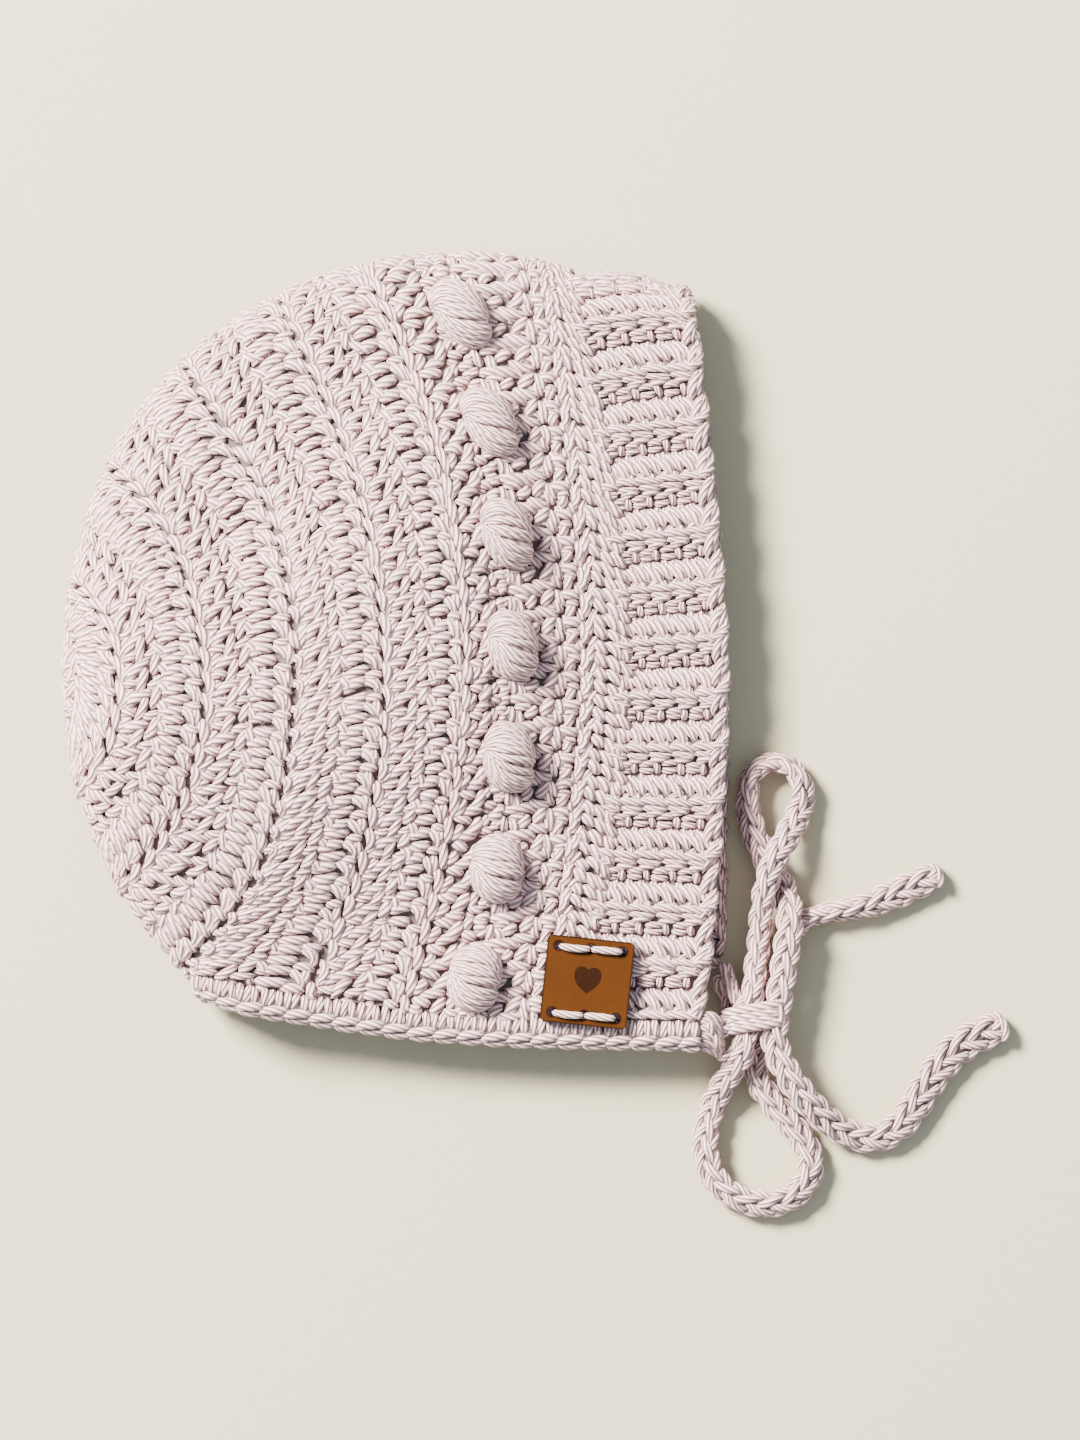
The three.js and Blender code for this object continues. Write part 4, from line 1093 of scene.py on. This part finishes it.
def add_tie_starts():
    """Where the ties grow out of the two front corners."""
    strands = Strands("tie_starts", 8, 8)
    for row in TIE_START:
        start, end = np.array(row[0:3]), np.array(row[3:6])
        bow, width = row[6:8]
        reach = end - start
        middle = (start + end) / 2 + np.array([-reach[1], reach[0], 0]) * bow + [0, 0, 0.5]
        line = bowed([start], [middle], [end], strands.steps) + corner
        strands.add(line, np.broadcast_to([0.0, 0.0, 1.0], line.shape), width, plump=0.4, deep=0.3)
    strands.build(yarn)


add_camera()
yarn = yarn_material("cotton yarn", YARN_LIGHT)
fine_yarn = yarn_material("cotton yarn of the bobbles", FINE_YARN_LIGHT)
shaded = under_material()
near_nodes = ("near_tie_stub", "upper_loop", "lower_tail")
far_nodes = ("far_tie_stub", "lower_loop", "upper_tail")
add_tie("near_tie", near_nodes, NEAR_ROUTE, NEAR_TIE_ROLL, NEAR_TIE_WIDTH)
add_tie("far_tie", far_nodes, FAR_ROUTE, FAR_TIE_ROLL, FAR_TIE_WIDTH)
add_knot()
add_tie_starts()


# The cloth.


def shell(name, first, last, outer, inner, rows, node):
    """The body of the cloth between its two faces, as a closed sheet, painted dark as the shade seen
    between the strands.
    """
    half = (1 - np.cos(np.linspace(0, math.pi, 61))) / 2
    arounds = np.concatenate([half, 1 + half[1:]])
    rounds, arounds = np.meshgrid(np.linspace(first, last, rows), arounds, indexing="ij")
    points, normals = cloth.at(rounds, arounds)
    faces = [points + normals * face(rounds, arounds)[..., None] for face in (outer, inner)]
    points = np.concatenate([face.reshape(-1, 3) for face in faces])
    count = rounds.size
    number = np.arange(count).reshape(rounds.shape)
    low, high = number[:-1], number[1:]
    top = np.stack([low[:, :-1], high[:, :-1], high[:, 1:], low[:, 1:]], axis=-1).reshape(-1, 4)
    under = np.stack([low[:, 1:], high[:, 1:], high[:, :-1], low[:, :-1]], axis=-1).reshape(-1, 4)
    quads = [top, under + count]
    for line in (number[-1], number[0][::-1], number[::-1, -1], number[:, 0]):
        quads.append(np.stack([line[:-1], line[:-1] + count, line[1:] + count, line[1:]], axis=-1))
    quads = np.concatenate(quads)
    piece = mesh_object(name, points, quads, np.zeros((quads.size, 2)), np.zeros((2 * count, 2)), shaded)
    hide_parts(node)


# The faces the stitches lie on: how far off the outer face, and 1 for one that looks out or -1 for in.
OUTSIDE = (below(0), 1)
INSIDE_CROWN = (below(CROWN_WALL), -1)
INSIDE_BORDER = (below(BORDER_WALL), -1)
OUTSIDE_BRIM = (below(0, ribbed=True), 1)
INSIDE_BRIM = (below(BRIM_WALL, ribbed=True), -1)

# The cloth's bodies are painted dark, as the shade seen between the strands.
shell("crown_body", 0.02, BRIM_START, below(1.9), below(2.4), 60, "crown")
shell("brim_body", BRIM_START, BRIM_END + 0.03, below(1.5, True), below(2, True), 9, "brim")
shell("border_body", BRIM_END + 0.02, FRONT_EDGE - 0.04, below(1.3), below(2.4), 3, "front_edging")

near_back = Strands("crown_stitches_near_back", 7, 6)
near_front = Strands("crown_stitches_near_front", 7, 6)
crown_stitches(near_back, near_front, False, OUTSIDE)
far_crown = Strands("crown_stitches_far", 6, 4)
crown_stitches(far_crown, far_crown, True, OUTSIDE)
near_brim = Strands("brim_stitches_near", 7, 6)
brim_stitches(near_brim, False, OUTSIDE_BRIM, True)
far_brim = Strands("brim_stitches_far", 6, 4)
brim_stitches(far_brim, True, OUTSIDE_BRIM, True)
border = Strands("border_stitches", 7, 6)
inner_crown = Strands("lining_stitches_crown", 5, 3)
inner_brim = Strands("lining_stitches_brim", 5, 4)
for far in (False, True):
    crown_stitches(inner_crown, inner_crown, far, INSIDE_CROWN, least=-0.5)
    brim_stitches(inner_brim, far, INSIDE_BRIM, False)
    border_stitches(border, far, OUTSIDE)
    border_stitches(border, far, INSIDE_BORDER)
for strands in (near_back, near_front, far_crown, near_brim, far_brim, border, inner_crown, inner_brim):
    strands.build(yarn)


def add_neck_edging():
    """Stitches over the neck edge, from the far front corner round the back to the near one."""
    past = np.linspace(-(FRONT_EDGE - LAST_CLOSED), FRONT_EDGE - LAST_CLOSED, 500)
    points, normals = cloth.at(LAST_CLOSED + np.abs(past) + 1e-6, np.where(past < 0, 2.0, 0.0))
    away = unit(np.cross(unit(np.gradient(points, axis=0)), normals))
    middle = points - normals * CROWN_WALL / 2
    lengths = run(points)
    total = lengths[-1]
    count = round(total / STITCH)

    def at(along, out, off):
        place, outward, face = (read(along, lengths, rows) for rows in (middle, away, normals))
        return place + outward * out[..., None] + face * off[..., None], face

    strands = Strands("neck_edging_stitches", 7, 7)
    share = np.linspace(0, 1, strands.steps + 1)[None, :]
    arc = 1 - (2 * share - 1) ** 2
    starts = np.arange(count)[:, None] * (total / count)
    for row in NECK_STITCH:
        start, end = np.array(row[0:3]), np.array(row[3:6])
        bow, width = row[6:8]
        jitter = rng.normal(0, 0.15, (count, 1))
        line = start[None, None] + (end - start)[None, None] * share[..., None]
        along = starts + line[..., 0] + jitter
        out = line[..., 1] + 0.35 - bow * (end[0] - start[0]) * arc + jitter * 0.3
        sign = 1 if start[2] > 0 else -1
        off = line[..., 2] + sign * (arc - 1) * 0.45
        points, face = at(along, np.broadcast_to(out, along.shape), np.broadcast_to(off, along.shape))
        strands.add(points, sign * face, width * rng.uniform(0.94, 1.06, count))
    piece = strands.build(yarn)
    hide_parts("neck_edging")
    # The core is painted dark, as the shade seen between the edging's strands.
    core = Strands("neck_edging_core", 8, 1)
    points, face = at(np.linspace(0, total, 200), np.full(200, 3.0), np.zeros(200))
    core.add(points[None], face[None], 2.6, plump=0.02, deep=0)
    core.build(shaded)


def add_bobbles(far):
    """One side's bobbles: strands bowed over each, and fewer thick ones under them."""
    side = "far" if far else "near"
    strands = Strands(f"{side}_bobble_strands", 8, 14)
    length = cloth.length(BOBBLE_ROUND, far)
    pitch = (length - BOBBLE_NECK_MARGIN - BOBBLE_FOLD_MARGIN) / (BOBBLE_COUNT - 1)
    high = FAR_BOBBLE_LIFT if far else BOBBLE_HEIGHT
    share = np.linspace(0, 1, strands.steps + 1)
    for number in range(BOBBLE_COUNT):
        around = (BOBBLE_NECK_MARGIN + number * pitch) / length
        around = 2 - around if far else around
        ends = cloth.at(np.array([BOBBLE_ROUND - 0.2, BOBBLE_ROUND + 0.2]), np.array([around, around]))[0]
        round_size = np.linalg.norm(ends[1] - ends[0]) / 0.4

        def bow(spread, power, short, narrow, lean):
            """A strand's share of the bobble's height, and the cloth under it."""
            arc = np.sin(math.pi * share) ** power
            across = -np.cos(math.pi * share) * (BOBBLE_WIDTH / 2 - short)
            down = np.sin(spread) * arc * (BOBBLE_LENGTH / 2 - narrow) + (share - 0.35) * lean
            places = cloth.at(BOBBLE_ROUND + across / round_size, around - down / length)
            return np.cos(spread) * arc, *places

        for strand in range(BOBBLE_STRANDS):
            spread = (strand / (BOBBLE_STRANDS - 1) * 2 - 1) * math.radians(84)
            spread += rng.normal(0, 0.05)
            lift, points, normals = bow(spread, 0.8, 0.9, 0.8, 1.6 if spread < 0.2 else 4.6)
            lift = lift * (high - 0.9) - 0.2 + 0.12 * math.sin(strand * 2.4)
            line = points + normals * np.maximum(lift, -0.4)[:, None]
            line[:, 2] = np.maximum(line[:, 2], 0.85)
            strands.add(line[None], normals[None], 1.7 * rng.uniform(0.92, 1.1))
        for strand in range(5):
            lift, points, normals = bow((strand / 2 - 1) * math.radians(60), 0.7, 1.6, 2, 2.4)
            line = points + normals * (lift * (high - 3))[:, None]
            line[:, 2] = np.maximum(line[:, 2], 1.9)
            strands.add(line[None], normals[None], 3.4, plump=0.6, deep=0.5)
    piece = strands.build(fine_yarn)
    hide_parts(*[f"{side}_bobble_{number + 1}" for number in range(BOBBLE_COUNT)])


def add_tag_stitches():
    """Four stitches of yarn through the tag's holes, two along its top and two along its bottom."""
    tag = frame["nodes"]["leather_tag"]
    tag.data.materials[0] = tag_material()
    corners = np.array([vertex.co for vertex in tag.data.vertices]) / MM
    centre = (corners.max(axis=0) + corners.min(axis=0)) / 2
    normal = np.linalg.svd(corners - corners.mean(axis=0))[2][2]
    normal = normal * np.sign(normal[2])
    right = np.array([math.cos(TAG_TURN), math.sin(TAG_TURN), 0])
    right = unit(right - normal * (right @ normal))
    up = np.cross(normal, right)
    top = max((corners - centre) @ normal)
    strands = Strands("tag_stitches", 10, 12)
    share = np.linspace(0, 1, strands.steps + 1)[:, None]
    arc = np.minimum(1, 3.2 * np.sin(math.pi * share))
    for row in (-1, 1):
        for place in (-1, 0):
            start = right * place * HOLE_PITCH + up * row * (TAG_SIDE / 2 - HOLE_INSET)
            line = centre + start + right * HOLE_PITCH * share
            line = line + normal * (top - 0.4 + arc * 1.1) + up * 0.25 * np.sin(math.pi * share) * place
            face = np.broadcast_to(normal, line.shape)
            strands.add(line[None], face[None], 1.65, plump=0.3, deep=0.25)
    strands.build(fine_yarn)


add_neck_edging()
add_bobbles(False)
add_bobbles(True)
add_tag_stitches()


# Floor and light.


def add_floor():
    mesh = bpy.data.meshes.new("floor")
    corners = [(x * FLOOR_REACH, y * FLOOR_REACH, 0) for x, y in ((-1, -1), (1, -1), (1, 1), (-1, 1))]
    mesh.from_pydata(corners, [], [(0, 1, 2, 3)])
    look = Look("floor", 0.9)
    look.fill(look.shader.inputs["Base Color"], FLOOR_COLOUR)
    mesh.materials.append(look.material)
    floor = bpy.data.objects.new("floor", mesh)
    bpy.context.scene.collection.objects.link(floor)


def add_light():
    """A key light from the upper left, and the sky's."""
    light = bpy.data.lights.new("key", "AREA")
    light.energy = KEY_POWER
    light.color = KEY_COLOUR
    light.size = KEY_SIZE
    lamp = bpy.data.objects.new("key", light)
    lamp.location = KEY_PLACE
    towards = np.array(KEY_AIM) - np.array(KEY_PLACE)
    flat = math.hypot(towards[0], towards[1])
    turn = math.atan2(towards[1], towards[0]) - math.pi / 2
    lamp.rotation_euler = (math.atan2(flat, -towards[2]), 0, turn)
    bpy.context.scene.collection.objects.link(lamp)
    world = bpy.data.worlds.new("world")
    world.use_nodes = True
    sky = world.node_tree.nodes["Background"].inputs
    sky["Color"].default_value = (*SKY_COLOUR, 1)
    sky["Strength"].default_value = SKY_STRENGTH
    bpy.context.scene.world = world


add_floor()
add_light()
